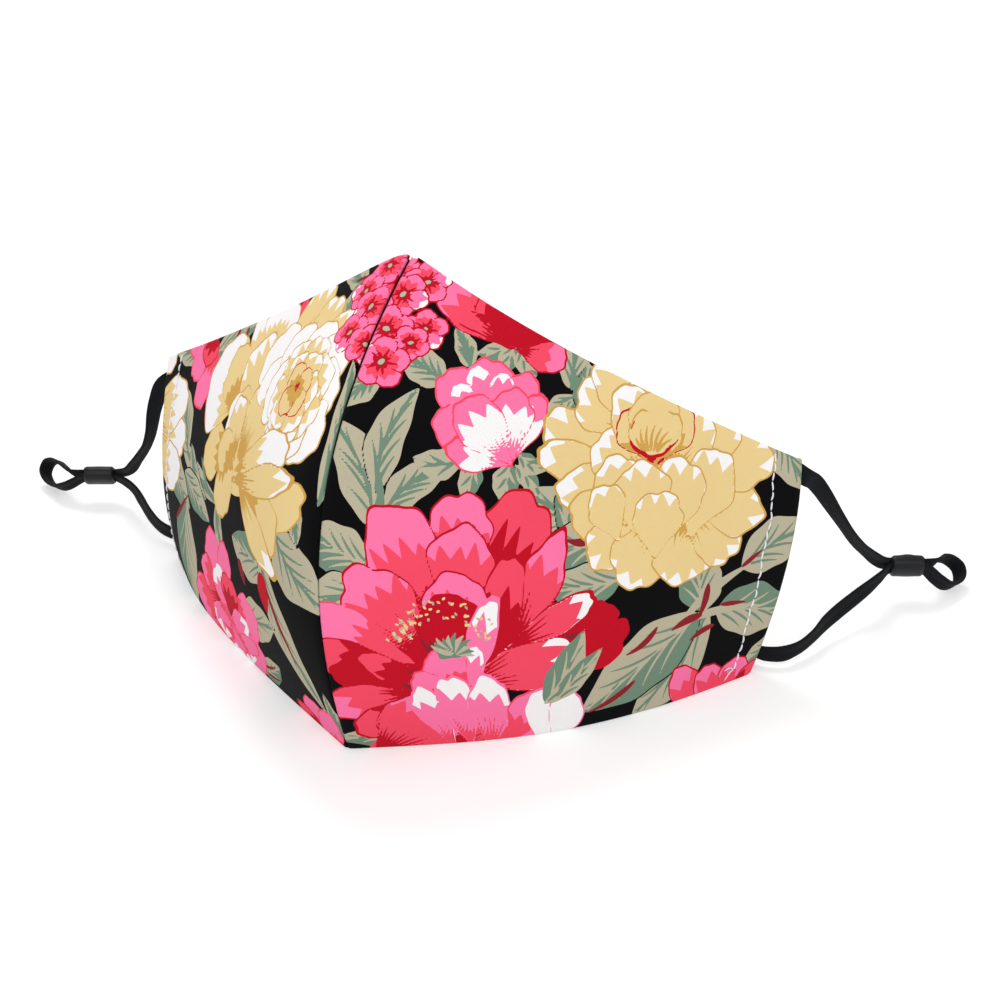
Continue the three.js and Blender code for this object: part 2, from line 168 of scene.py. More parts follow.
# Route of each ear loop: middle of the band (x, y, z) and the direction across it (x, y, z)
LOOPS = {
    "right": {
        "slider": {"near": (114.3, 130.3, 11.5), "far": (123.5, 133.9, 11.5), "across": (0.17, -0.44, 0.88)},
        "upper": [
            (96.2, 92.4, 54.6, 0.38, 0.47, 0.8),
            (97.7, 96.0, 51.8, 0.64, 0.39, 0.66),
            (99.3, 99.2, 47.7, 0.9, 0.15, 0.42),
            (101.9, 104.7, 39.7, 0.96, -0.16, 0.21),
            (104.7, 110.4, 31.5, 0.95, -0.31, 0.11),
            (107.2, 115.7, 24.7, 0.95, -0.24, 0.2),
            (109.8, 121.3, 19.1, 0.83, -0.2, 0.42),
            (111.9, 126.4, 14.6, 0.55, -0.25, 0.7),
        ],
        "end": [
            (125.8, 137.4, 11.2, 0.5, -0.25, 0.83),
            (126.8, 143.2, 10.0, 0.66, -0.14, 0.74),
            (128.8, 147.6, 7.5, 0.73, -0.09, 0.67),
            (131.2, 148.8, 4.9, 0.73, -0.09, 0.67),
            (132.4, 146.3, 3.2, 0.73, -0.09, 0.67),
            (131.9, 142.3, 2.7, 0.73, -0.09, 0.67),
            (130.0, 138.4, 3.9, 0.69, -0.12, 0.7),
            (127.4, 135.8, 6.9, 0.45, -0.28, 0.83),
        ],
        "lower": [
            (113.0, 124.6, 10.6, 0.12, -0.25, 0.96),
            (111.1, 119.4, 9.8, -0.05, -0.14, 0.99),
            (108.3, 113.3, 8.6, -0.19, -0.09, 0.98),
            (105.2, 106.0, 7.4, -0.22, -0.08, 0.97),
            (102.8, 99.8, 6.2, -0.15, -0.12, 0.98),
            (101.1, 93.0, 5.2, 0.05, -0.14, 0.99),
            (98.6, 86.8, 4.4, 0.08, -0.15, 0.98),
            (95.2, 82.4, 4.2, -0.07, -0.06, 1.0),
            (90.6, 80.7, 4.2, -0.07, -0.15, 0.98),
            (85.6, 80.6, 4.6, -0.25, -0.25, 0.94),
        ],
    },
    "left": {
        "slider": {"near": (127.8, 102.7, 9.8), "far": (138.4, 98.5, 9.8), "across": (-0.235, -0.598, 0.765)},
        "upper": [
            (95.2, 90.6, 55.0, 0.4, 0.35, 0.83),
            (101.8, 91.4, 50.6, 0.76, -0.42, 0.5),
            (105.2, 92.7, 44.5, 0.73, -0.64, 0.22),
            (107.3, 93.6, 39.1, 0.55, -0.83, 0.06),
            (109.0, 94.4, 33.0, 0.34, -0.94, -0.02),
            (111.1, 95.3, 27.8, 0.32, -0.95, -0.05),
            (114.2, 96.7, 23.2, 0.43, -0.9, 0.02),
            (118.2, 98.5, 18.2, 0.4, -0.85, 0.2),
            (122.2, 100.5, 13.7, 0.1, -0.75, 0.6),
        ],
        "end": [
            (142.2, 98.9, 9.9, 0.05, -0.66, 0.74),
            (147.4, 102.2, 9.9, 0.3, -0.69, 0.65),
            (152.6, 105.8, 9.2, 0.43, -0.69, 0.58),
            (156.4, 107.4, 6.9, 0.43, -0.69, 0.58),
            (157.3, 106.4, 4.2, 0.43, -0.69, 0.58),
            (154.6, 103.6, 2.7, 0.43, -0.69, 0.58),
            (149.4, 100.2, 2.9, 0.4, -0.7, 0.6),
            (143.8, 97.6, 5.6, 0.1, -0.68, 0.73),
        ],
        "lower": [
            (124.6, 101.5, 8.6, -0.11, -0.43, 0.9),
            (121.0, 100.0, 7.8, -0.1, -0.29, 0.95),
            (116.6, 96.7, 6.6, -0.15, -0.08, 0.99),
            (108.8, 89.6, 5.2, -0.1, -0.08, 0.99),
            (102.6, 85.4, 4.4, -0.06, -0.16, 0.99),
            (97.4, 83.8, 4.2, -0.06, -0.22, 0.97),
            (89.6, 84.3, 4.6, -0.25, -0.25, 0.94),
        ],
    },
}

# Print
INKS = {
    "black": (0.03, 0.028, 0.036), "sage": (0.72, 0.69, 0.59), "green": (0.44, 0.54, 0.46),
    "pink": (0.98, 0.46, 0.65), "coral": (0.95, 0.29, 0.39), "red": (0.75, 0.05, 0.14),
    "cream": (0.91, 0.80, 0.56), "gold": (0.81, 0.63, 0.31), "white": (0.96, 0.95, 0.95),
    "maroon": (0.55, 0.13, 0.17),
}
NAMES = list(INKS)
FAR = 2.0


def noise(n, seed):
    """A repeatable number from 0 to 1 for each whole number n."""
    return np.modf(np.abs(np.sin(n * 12.9898 + seed * 78.233) * 43758.5453))[0]


def spikes(x, seed, sharp):
    """Pointed waves of uneven height, one for each whole step of x."""
    cell = np.floor(x)
    height = 0.35 + 0.65 * noise(cell, seed)
    peak = 0.3 + 0.4 * noise(cell, seed + 0.5)
    rise = np.where(x - cell < peak, (x - cell) / peak, (1 - x + cell) / (1 - peak))
    return height * rise ** sharp


def spine(start, end):
    """The line from start to end: start, length, middle, and the directions along and across it."""
    start, end = np.array(start, float), np.array(end, float)
    length = np.hypot(*(end - start))
    axis = (end - start) / length
    return start, length, (start + end) / 2, axis, np.array([-axis[1], axis[0]])


class Print:
    """Flat colours laid over one another on the cloth, each kept as a distance to its own edge."""

    def __init__(self, points):
        self.points = points
        self.fields = np.full((len(NAMES), len(points)), -FAR)
        self.fields[0] = 1.0

    def near(self, middle, reach):
        """Which points lie within reach of the middle."""
        away = np.hypot(self.points[:, 0] - middle[0], self.points[:, 1] - middle[1])
        return np.nonzero(away < reach + 1)[0]

    def lay(self, rows, inside, ink):
        """Lays an ink over the others where inside, the depth within its shape, is above nought."""
        inside = np.clip(inside, -FAR, FAR)
        k = NAMES.index(ink)
        old = self.fields[k, rows]
        self.fields[:, rows] = np.minimum(self.fields[:, rows], -inside)
        self.fields[k, rows] = np.maximum(old, inside)

    def petal(self, base, tip, width, inks, reach=(0.72, 0.4), lobes=3, seed=1, edge=None, depth=0.06):
        """A petal. inks run from the rim to the base; reach says how far each inner one comes."""
        base, length, _, axis, side = spine(base, tip)
        middle = base + axis * length * 0.53
        rows = self.near(middle, max(length, width) * 0.72)
        p = self.points[rows]
        along = (p - middle) @ axis / (length * 0.5)
        aside = (p - middle) @ side / (width * 0.5)
        taper = np.clip((along + 1.1) / 1.5, 0, 1)
        lateral = aside / (0.3 + 0.7 * taper * taper * (3 - 2 * taper))
        angle = np.arctan2(lateral, along)
        rim = 1 + depth * (np.abs(np.cos(angle * lobes + seed)) - 0.6)
        rim += 0.035 * np.cos(angle * 5 + seed * 2.3) + 0.02 * np.cos(angle * 11 + seed)
        inside = (rim - np.hypot(along, lateral)) * min(length, width) * 0.5
        if edge:
            self.lay(rows, inside + 0.45, edge)
        self.lay(rows, inside, inks[0])
        root = p - base
        turn = np.arctan2(root @ side, root @ axis)
        r = np.hypot(root[:, 0], root[:, 1]) / length
        spread = math.atan2(width * 0.5, length * 0.6) * 2
        for k, (ink, far) in enumerate(zip(inks[1:], reach)):
            count = max(2.5, width / 4.0) if k == 0 else max(4.0, width / 1.9)
            place = turn / spread * count + seed * 0.37 + k * 0.5
            wave = spikes(place, seed + k, 1.0 if k == 0 else 1.5)
            bound = far * (0.78 + 0.3 * wave if k == 0 else 0.5 + 0.85 * wave)
            self.lay(rows, np.minimum(inside - 0.12, (bound - r) * length * 0.6), ink)

    def stroke(self, start, end, width, ink, bend=0.0):
        """A tapering line, thickest in its first third."""
        start, length, middle, axis, side = spine(start, end)
        rows = self.near(middle, length * 0.6 + width + abs(bend) * length)
        p = self.points[rows] - start
        a = p @ axis / length
        b = p @ side - bend * length * 4 * a * (1 - a)
        half = width * 0.5 * np.sin(math.pi * np.clip(a, 0, 1) ** 0.7) ** 0.8 + 0.12
        ends = np.minimum(a, 1 - a) * length + 0.15
        self.lay(rows, np.minimum(half - np.abs(b), ends), ink)

    def blob(self, middle, size, ink, turn=0.0, seed=0, wobble=0.0):
        """A turned oval, with five shallow waves in its rim if it wobbles."""
        rows = self.near(middle, max(size))
        p = self.points[rows] - np.array(middle, float)
        c, s = math.cos(turn), math.sin(turn)
        x, y = (p[:, 0] * c + p[:, 1] * s) / size[0], (p[:, 1] * c - p[:, 0] * s) / size[1]
        rim = 1 + wobble * np.cos(np.arctan2(y, x) * 5 + seed)
        self.lay(rows, (rim - np.hypot(x, y)) * min(size), ink)

    def leaf(self, base, tip, width, bend, half, veins=5, seed=1, edge=None):
        """A pointed leaf with a midrib and side veins. half paints one side of the midrib green."""
        base, length, middle, axis, side = spine(base, tip)
        rows = self.near(middle, length * 0.56 + width * 0.5 + abs(bend) * length)
        p = self.points[rows] - base
        a = p @ axis / length
        b = p @ side - bend * length * 4 * a * (1 - a)
        t = np.clip(a, 0, 1)
        rim = width * 0.5 * np.sin(np.pi * t ** 0.8) ** 0.8 * (1 + 0.05 * np.cos(17 * t + seed))
        inside = np.minimum(rim - np.abs(b), np.minimum(a, 1 - a) * length + 0.3) * 0.9
        if edge:
            self.lay(rows, inside + 0.4, edge)
        self.lay(rows, inside, "sage")
        if half:
            jag = 0.7 * spikes(t * length / 4.5, seed, 1.25)
            self.lay(rows, np.minimum(inside, b - jag + 0.2), "green")
        rib = "sage" if half else "green"
        self.lay(rows, np.minimum(inside + 0.2, 0.42 * (1.15 - t) - np.abs(b)), rib)
        for k in range(veins):
            for way in (-1, 1):
                a0 = (k + 0.35 + 0.2 * way) / (veins + 1.2)
                a1 = min(a0 + 0.3 + 0.1 * noise(np.array(k), seed), 0.96)
                h = width * 0.5 * math.sin(math.pi * min(max(a1, 0.02), 0.98) ** 0.8) * 0.75
                c0 = 4 * bend * length * a0 * (1 - a0)
                c1 = 4 * bend * length * a1 * (1 - a1)
                q0 = base + axis * a0 * length + side * (c0 + 0.3 * way)
                q1 = base + axis * a1 * length + side * (c1 + way * h)
                ink = "sage" if half and way > 0 else "green"
                self.stroke(q0, q1, 0.55, ink, bend=-0.05 * way)

    def floret(self, middle, size, turn, light):
        """A small five-petalled flower with an oval eye."""
        for k in range(5):
            way = turn + k * 2 * math.pi / 5
            tip = (middle[0] + size * math.cos(way), middle[1] + size * math.sin(way))
            pale = (k + light) % 5 == 1
            inks = ("white", "pink", "red") if pale else ("pink", "coral", "red")
            reach = (0.95, 0.36) if pale else (0.72, 0.36)
            self.petal(middle, tip, size * 0.95, inks, reach, lobes=2, seed=k + light, edge="red")
        for k in range(10):
            way = turn + 0.3 + k * 2 * math.pi / 10
            far = size * (0.36 + 0.24 * (k % 2))
            end = (middle[0] + far * math.cos(way), middle[1] + far * math.sin(way))
            self.stroke(middle, end, 0.55, "red")
        self.blob(middle, (size * 0.2, size * 0.15), "maroon", turn=turn)
        self.blob(middle, (size * 0.15, size * 0.1), "sage", turn=turn)


# Petal kinds: inks from rim to base, how far each inner ink reaches, and the line round the rim
PETALS = {
    "peony": (("pink", "coral", "red"), (0.9, 0.5), "red"),
    "peach": (("pink", "coral", "red"), (0.8, 0.42), "red"),
    "coral": (("coral", "red"), (0.78,), "red"),
    "blaze": (("red", "maroon"), (0.5,), None),
    "pink": (("pink", "coral"), (0.6,), "coral"),
    "bud": (("pink", "white", "pink"), (0.85, 0.42), "coral"),
    "budrim": (("pink", "coral"), (0.62,), "coral"),
    "rose": (("white", "cream", "gold"), (1.08, 0.46), "gold"),
    "fold": (("white", "cream", "gold"), (1.0, 0.5), "gold"),
    "pale": (("white", "cream", "gold"), (0.74, 0.44), "gold"),
    "front": (("white", "cream"), (1.06,), "gold"),
    "tipped": (("white", "coral", "red"), (1.02, 0.5), "red"),
    "snow": (("white", "cream", "gold"), (0.62, 0.28), "gold"),
    "cream": (("cream", "gold"), (0.6,), "gold"),
    "heart": (("cream", "gold", "red"), (0.7, 0.3), "red"),
    "blush": (("white", "pink", "coral"), (0.9, 0.42), "pink"),
    "shell": (("white", "white"), (0.1,), "pink"),
}

# Where everything lies on the flat cloth, in millimetres from the seam and from mid-height, back to front.
# Leaves and calyx: base x, y, tip x, y, width, bend, whether one half is green
# Lines: start x, y, end x, y, width, ink, bend. Grounds: middle, half-sizes, ink, turn
# Petals: kind, base x, y, tip x, y, width. Florets: x, y, size
RIGHT_PRINT = {
    "leaves": [
        (13.5, 0, -3, 24, 13, -0.1, False), (12.6, 9, 17, 37, 9.5, 0.08, False),
        (15.5, 4.5, 31, 19, 9, 0.1, False), (23, 40, 8.5, 44.5, 10, -0.06, False),
        (28.5, 46, 21, 57, 6, -0.06, False), (6, 37, -2, 27, 8, 0.0, False), (59, 45, 57, 63, 9, 0.0, False),
        (62, 43, 55, 32, 7, -0.2, True), (68, 39, 63, 53, 9, 0.1, True), (76, 8, 52, 16, 15, 0.02, False),
        (66, 6, 63, 24, 7, 0.0, True), (80, 4, 58, 1, 14, -0.04, True), (84, -4, 60, -8, 12, 0.04, True),
        (13, -10, -5, -4, 14, 0.05, True), (13, -16, -5, -28, 13, -0.02, False),
        (113, -12, 110, 6, 15, 0.06, True), (124, 1, 147, 15, 14, 0.04, False),
        (118, -12, 148, -13, 16, 0.04, True), (131, 40, 143, 24, 15, 0.0, False),
        (115, -12, 92, -46, 16, 0.06, False), (112, -13, 74, -46, 18, 0.0, True),
        (147, -20, 133, -31, 9, 0.0, False), (24, -64, -3, -72, 9, 0.06, True),
    ],
    "lines": [
        (107, -14, 127, 2, 2.6, "sage", 0.05), (107, -15, 133, -10, 2.2, "sage", 0.04),
        (113, -13, 103, -18, 2.2, "maroon", -0.05), (113.5, -4, 112, -14, 2.0, "maroon", 0.05),
        (118, -16, 110, -21, 1.6, "maroon", -0.05), (98, -17, 88, -26, 1.6, "maroon", 0.08),
        (124, 1, 130, 6, 1.2, "maroon", 0.0), (119, -10, 128, -9, 1.2, "maroon", 0.0),
        (15, 4, 12.5, 14, 1.4, "green", 0.0), (12.3, 12, 15, -1, 1.3, "green", 0.05),
        (60, 44, 64, 39, 1.8, "green", 0.1), (58, 51, 62, 41, 1.6, "green", 0.0),
        (92, -34, 76, -46, 1.5, "maroon", 0.04), (74, 6, 66, 5, 2.0, "maroon", 0.1),
    ],
    "grounds": [((28, -34), (27, 19), "red", 0.5), ((92, 18), (24, 16), "cream", 0)],
    "calyx": [
        (38, 56, 29, 50.5, 6, 0.1, True), (39, 55, 38, 46, 6, 0.0, True), (41, 55, 48, 47, 6, -0.1, True),
        (33, 21, 20, 19, 8, 0.1, False), (37, 21, 35, 11, 6.5, 0.0, True), (46, 22, 46, 12, 8, 0.0, True),
        (48, 22, 56, 15, 5, 0.05, True), (48, 25, 57, 22, 5, -0.1, True),
        (62, -44, 74, -19, 10, -0.04, True), (66, -42, 80, -24, 6, 0.0, True),
    ],
    "petals": [
        ("peony", 39, 54, 14, 71, 17), ("coral", 39, 54, 31, 76, 20), ("coral", 40, 54, 47, 71, 18),
        ("peach", 40, 54, 55, 53, 10),
        # rosebud
        ("budrim", 41, 24, 33, 48.5, 16), ("budrim", 42, 24, 45, 46.5, 14), ("budrim", 38, 28, 23.5, 43, 14),
        ("budrim", 40, 26, 24, 31, 13), ("blush", 38, 34, 30, 46, 8), ("blush", 34, 32, 26.5, 40, 7),
        ("blush", 40, 36, 38, 46, 7), ("bud", 46, 22, 50.5, 41, 9), ("bud", 46, 22, 29, 23.5, 9),
        ("bud", 46, 22, 42, 41.5, 13), ("bud", 46.5, 22, 29.5, 36, 14),
        # red petals on the peony's right
        ("blaze", 60, -36, 87, -17, 15), ("blaze", 62, -28, 83, -12, 12),
        # peony
        ("coral", 42, -22, 54, 14, 23), ("peony", 52, -28, 64, 5, 12), ("peach", 37, -10, 35, 12, 18),
        ("peach", 32, -24, 16, 5, 21), ("peony", 30, -34, 9, -13, 21), ("pink", 24, -36, -4, -28, 17),
        ("coral", 24, -38, -4, -41, 14), ("peony", 37, -22, 37, 4, 19), ("coral", 46, -34, 51, -2, 12),
        ("peach", 37, -30, 36, -8, 19), ("blaze", 36, -44, 2, -46, 18), ("blaze", 30, -40, 38, -14, 21),
        ("blaze", 38, -44, 52, -22, 16), ("peony", 26, -46, -2, -60, 13), ("coral", 30, -48, 6, -68, 12),
        ("tipped", 36, -42, 70, -25, 17), ("tipped", 50, -27, 75, -10, 9), ("coral", 26, -44, 10, -38, 9),
        ("blush", 38, -44, 46, -14, 8), ("blush", 38, -46, 42, -28, 6), ("pink", 38, -44, 30, -32, 14),
        ("pink", 34, -48, 24, -41, 10),
        # petals along the hem
        ("pink", 58, -62, 8, -77, 13), ("coral", 66, -58, 26, -70, 9),
        # white and pink flower at the hem
        ("peony", 8, -78, 32, -52, 24), ("peony", 30, -70, 56, -50, 20), ("blush", 33, -68, 25, -46, 11),
        ("blush", 38, -66, 34, -40, 13), ("blush", 44, -66, 45, -38, 13), ("pink", 50, -62, 58, -42, 10),
        ("shell", 60, -62, 62, -40, 12), ("shell", 64, -60, 71, -40, 11),
        # pink flower at the lower corner
        ("peony", 122, -46, 107, -31, 13), ("peony", 128, -44, 118, -30, 13),
        ("peach", 130, -42, 133, -27, 14), ("coral", 132, -42, 143, -29, 11),
        # cream rose: outer ring
        ("cream", 84, 8, 98, 30, 26), ("rose", 84, 20, 55, 36, 17), ("rose", 84, 20, 55, 27, 12),
        ("fold", 86, 18, 62, 18, 14), ("cream", 92, 14, 67, 12, 16), ("rose", 92, 14, 74, 1, 15),
        ("rose", 94, 14, 86, -5, 18), ("rose", 100, 14, 106, -3, 21), ("rose", 102, 16, 120, 5, 16),
        ("rose", 102, 18, 127, 16, 15), ("rose", 100, 26, 129, 33, 19), ("rose", 96, 28, 116, 42, 18),
        ("fold", 84, 34, 63, 46, 18), ("fold", 86, 36, 68, 56, 18), ("fold", 88, 34, 86, 54, 20),
        ("fold", 90, 34, 100, 48, 16),
        # cream rose: inner petals
        ("fold", 88, 20, 72, 33, 19), ("fold", 92, 26, 75, 46, 15), ("fold", 94, 24, 104, 42, 18),
        ("heart", 88, 27, 78, 40, 12), ("heart", 90, 27, 98, 42, 13), ("cream", 88, 26, 87, 46, 18),
        ("cream", 88, 26, 83, 40, 10), ("cream", 88, 26, 94, 40, 11), ("heart", 88, 26, 88, 39, 12),
        ("front", 84, 10, 76, 27, 15), ("front", 104, 8, 111, 31, 19), ("front", 96, 6, 99, 28, 20),
        ("front", 90, 6, 85, 26, 19), ("front", 94, 2, 93, 19, 17), ("front", 82, 6, 74, 19, 12),
    ],
    "florets": [
        (-1, 70, 7), (9, 68, 6.6), (4, 62, 7), (13.5, 53.5, 6), (-2, 55, 6), (3.5, 50.5, 7), (11, 48.5, 5),
        (5.5, 41, 7),
    ],
    "stamens": [(34, -24)],
    "swirls": [(88, 32)],
}
LEFT_PRINT = {
    "leaves": [
        (11, 63, 28, 69, 8, 0.1, False), (12, 49, 16, 64, 8, 0.0, False), (1, 2, 2, 40, 6, 0.06, False),
        (18, -6, -4, -27, 15, 0.05, False), (20, -16, 48, -10, 15, -0.05, True),
        (27, -12, 5, -64, 10, 0.04, False), (47, -34, 24, -36, 16, 0.03, False),
        (47, -59, 30, -52, 12, 0.0, True), (64, -3, 58, -18, 7, 0.0, False),
        (110, 11, 60, -3, 6, 0.03, False), (97, 10, 74, -3, 6, 0.1, False), (100, 2, 70, -9, 9, 0.0, True),
        (100, 8, 117, 25, 11, 0.0, False), (122, 4, 92, -8, 12, 0.0, True),
        (96, -7, 108, -44, 24, 0.0, True), (98, 37, 72, 50, 12, 0.0, True),
        (110, 35, 134, 35, 9, 0.0, False), (0, -72, 4, -55, 5, 0.0, False), (10, 2, 7, -9, 6, 0.0, False),
    ],
    "lines": [
        (27, -18, 26, -31, 6.0, "red", 0.0), (43, -16, 40, -24, 3.0, "maroon", 0.0),
        (86, 46, 84, 40, 1.8, "maroon", 0.0), (79, 47, 78, 42, 1.4, "maroon", 0.0),
        (112, -14, 94, -4, 1.6, "maroon", 0.0), (24, -22, 14, -48, 1.3, "maroon", 0.02),
        (46, -55, 34, -53, 1.2, "maroon", 0.05), (46, -58, 34, -59, 1.2, "maroon", 0.05),
        (18, 66, 12, 68, 1.2, "maroon", 0.0), (84, 8, 66, -3, 1.0, "green", 0.05),
    ],
    "grounds": [((46, 14), (18, 13), "cream", 0), ((62, -38), (13, 12), "coral", 0)],
    "petals": [
        ("pink", 98, 38, 81, 17, 12), ("coral", 56, 50, 44, 59, 11),
        # pink flower under the upper edge
        ("pink", 108, 40, 120, 36, 8), ("pink", 101, 42, 99, 21, 15), ("pink", 104, 42, 113, 29, 14),
        ("coral", 103, 44, 103, 33, 13),
        # cream flower cut by the side
        ("pale", 152, 10, 107, 10, 15), ("pale", 152, 14, 113, 21, 17), ("pale", 152, 0, 109, 1, 15),
        ("snow", 152, 34, 132, 32, 13),
        # cream rose: outer petals
        ("cream", 58, 12, 81, 10, 16), ("cream", 62, 16, 57, -5, 17), ("pale", 58, 28, 93, 31, 31),
        ("cream", 64, 20, 78, 40, 18), ("pale", 58, 36, 70, 55, 18), ("pale", 54, 38, 56, 58, 24),
        ("fold", 30, 38, 36, 65, 19), ("fold", 26, 40, 22, 60, 16), ("fold", 20, 36, 9, 55, 14),
        ("cream", 36, -2, 7, 2, 15), ("cream", 44, 4, 18, -9, 17), ("fold", 47, 7, 20, -17, 9),
        ("fold", 42, 22, 64, 42, 24), ("fold", 44, 20, 67, 22, 18), ("fold", 52, 10, 62, 26, 13),
        ("snow", 32, 30, 50, 46, 24), ("fold", 50, 10, 38, 30, 22), ("snow", 34, 24, 45, 38, 18),
        # cream rose: rings round its heart
        ("pale", 24, 30, 36, 49, 20), ("pale", 23, 30, 18, 51, 19), ("pale", 23, 30, 6, 45, 18),
        ("pale", 23, 30, 4, 31, 20), ("pale", 23, 30, 7, 15, 20), ("pale", 23, 32, 21, 12, 24),
        ("pale", 24, 30, 41, 31, 20), ("fold", 23, 30, 32, 44, 15), ("fold", 23, 30, 18, 46, 16),
        ("fold", 23, 30, 8, 36, 16), ("fold", 23, 30, 10, 22, 16), ("fold", 23, 32, 22, 16, 17),
        ("fold", 24, 30, 36, 26, 16), ("fold", 23, 30, 29, 41, 11), ("fold", 23, 30, 17, 41, 12),
        ("fold", 23, 30, 12, 30, 13), ("fold", 23, 32, 18, 20, 12), ("fold", 23, 31, 31, 22, 12),
        ("heart", 22, 29, 27, 38, 9), ("heart", 24, 30, 17, 35, 9), ("heart", 24, 32, 18, 25, 9),
        ("heart", 22, 33, 28, 25, 9), ("snow", 50, 8, 18, 15, 14), ("fold", 52, 5, 14, 7, 9),
        ("cream", 52, 8, 68, 14, 12),
        # pink flower at the hem
        ("pink", 62, -36, 71, -12, 17), ("pink", 60, -34, 57, -14, 12), ("peony", 64, -34, 96, -40, 22),
        ("peony", 66, -30, 82, -24, 14), ("pink", 58, -34, 38, -38, 19), ("pink", 60, -38, 46, -57, 20),
        ("peony", 66, -42, 84, -56, 18), ("blush", 66, -34, 78, -48, 15), ("blush", 62, -40, 66, -22, 15),
        ("blush", 60, -40, 62, -58, 20), ("coral", 60, -40, 56, -24, 15), ("blaze", 62, -40, 58, -30, 9),
        ("blush", 66, -42, 48, -40, 11), ("pink", 70, -50, 46, -48, 9), ("pink", 74, -44, 60, -52, 7),
        # pink petals at the chin
        ("pink", 12, -80, 16, -61, 13), ("pink", 6, -84, 7, -64, 13), ("coral", 8, -80, 25, -66, 9),
    ],
    "florets": [(-1, 66, 6), (5, 71, 6.5), (9.5, 62, 6.2), (4, 56.5, 6.6), (7.5, 48, 5.8), (0.5, 45, 6)],
}
DESIGNS = {"right": RIGHT_PRINT, "left": LEFT_PRINT}
# How many calyx leaves lie behind the petals, and the width past which a petal has a third lobe
CALYX_BEHIND = 8
BROAD_PETAL = 12


def draw_print(points, design):
    """Draws a whole design, back to front, and returns one field for each ink."""
    cloth = Print(points)
    for k, (x, y, tip_x, tip_y, width, bend, half) in enumerate(design["leaves"]):
        cloth.leaf((x, y), (tip_x, tip_y), width, bend, half, seed=k, edge="black")
    for x, y, end_x, end_y, width, ink, bend in design["lines"]:
        cloth.stroke((x, y), (end_x, end_y), width, ink, bend)
    for middle, size, ink, turn in design["grounds"]:
        cloth.blob(middle, size, ink, turn)
    calyx = design.get("calyx", [])
    for x, y, tip_x, tip_y, width, bend, half in calyx[:CALYX_BEHIND]:
        cloth.leaf((x, y), (tip_x, tip_y), width, bend, half, veins=2)
    for k, (kind, x, y, tip_x, tip_y, width) in enumerate(design["petals"]):
        inks, reach, edge = PETALS[kind]
        lobes = 3 if width > BROAD_PETAL else 2
        cloth.petal((x, y), (tip_x, tip_y), width, inks, reach, lobes, k + 1, edge)
    for x, y, tip_x, tip_y, width, bend, half in calyx[CALYX_BEHIND:]:
        cloth.leaf((x, y), (tip_x, tip_y), width, bend, half, veins=3)
    for middle in design.get("stamens", []):
        stamens(cloth, middle)
    for middle in design.get("swirls", []):
        swirl(cloth, middle, 7.0)
    for k, (x, y, size) in enumerate(design["florets"]):
        cloth.floret((x, y), size, 0.6 * k, k)
    return cloth.fields


def stamens(cloth, middle):
    """The peony's green heart with cream dots round it."""
    cloth.blob((middle[0] + 1, middle[1] - 6), (5.0, 2.2), "green", turn=0.45, wobble=0.1)
    for k in range(11):
        way = 0.1 + 2.7 * k / 10
        far = 5.2 + 2.4 * float(noise(np.array(k), 5))
        start = (middle[0] + 1, middle[1] - 7)
        end = (start[0] + far * 1.2 * math.cos(way), start[1] + far * math.sin(way))
        cloth.stroke(start, end, 1.5, "green" if k % 2 else "sage", 0.08)
    for k in range(60):
        way = 0.35 + 3.0 * k / 60
        far = 7.5 + 6.0 * float(noise(np.array(k), 3))
        spot = (middle[0] + far * 1.25 * math.cos(way), middle[1] - 4 + far * math.sin(way))
        cloth.blob(spot, (0.62, 0.36), "cream" if k % 3 else "sage", turn=k)


def swirl(cloth, middle, size):
    """Rolled petals in a rose's heart, each over a dark red hollow."""
    rolls = ((0, 3.5, 1.15, 0.85), (-0.6, 1.5, 0.9, 0.62), (0.5, 0, 0.6, 0.42))
    for k, (dx, dy, wide, high) in enumerate(rolls):
        spot = (middle[0] + dx, middle[1] + dy)
        cloth.blob((spot[0], spot[1] - 0.9), (size * wide, size * high), "red", seed=k, wobble=0.05)
        cloth.blob(spot, (size * wide * 0.97, size * high * 0.97), "cream", seed=k + 1, wobble=0.06)
    for k in range(7):
        way = math.pi * (0.1 + 0.8 * k / 6)
        start = (middle[0] + size * 0.3 * math.cos(way), middle[1] - 2)
        end = (middle[0] + size * 0.9 * math.cos(way), middle[1] + size * 0.8 * math.sin(way))
        cloth.stroke(start, end, 0.7, "gold", 0.1)


# Small helpers

def unit(v):
    return v / np.maximum(np.linalg.norm(v, axis=-1, keepdims=True), 1e-12)


def smooth(t):
    t = np.clip(t, 0, 1)
    return t * t * (3 - 2 * t)


def mix(a, b, t):
    return a + (b - a) * t


def bezier(points, t):
    """Point at t on a Bezier curve with any number of control points."""
    t = np.asarray(t, float)[..., None]
    row = [np.array(p, float) for p in points]
    while len(row) > 1:
        row = [a * (1 - t) + b * t for a, b in zip(row, row[1:])]
    return row[0]


def even_bezier(points):
    """The same curve, travelled at an even pace."""
    t = np.linspace(0, 1, 1001)
    line = bezier(points, t)
    far = np.concatenate([[0], np.cumsum(np.linalg.norm(np.diff(line, axis=0), axis=1))])
    return lambda share: bezier(points, np.interp(share, far / far[-1], t))


def to_model(points, sign):
    """Millimetres from the chin with X outwards, to metres in the mask's frame."""
    out = np.array(points, float) - (0, CENTRE_Y, 0)
    out[..., 0] *= sign
    return out * MM


def mesh_piece(name, points, faces, material):
    mesh = bpy.data.meshes.new(name)
    mesh.from_pydata([tuple(p) for p in points], [], faces)
    mesh.polygons.foreach_set("use_smooth", [True] * len(mesh.polygons))
    mesh.materials.append(material)
    mesh.update()
    obj = bpy.data.objects.new(name, mesh)
    bpy.context.scene.collection.objects.link(obj)
    return obj


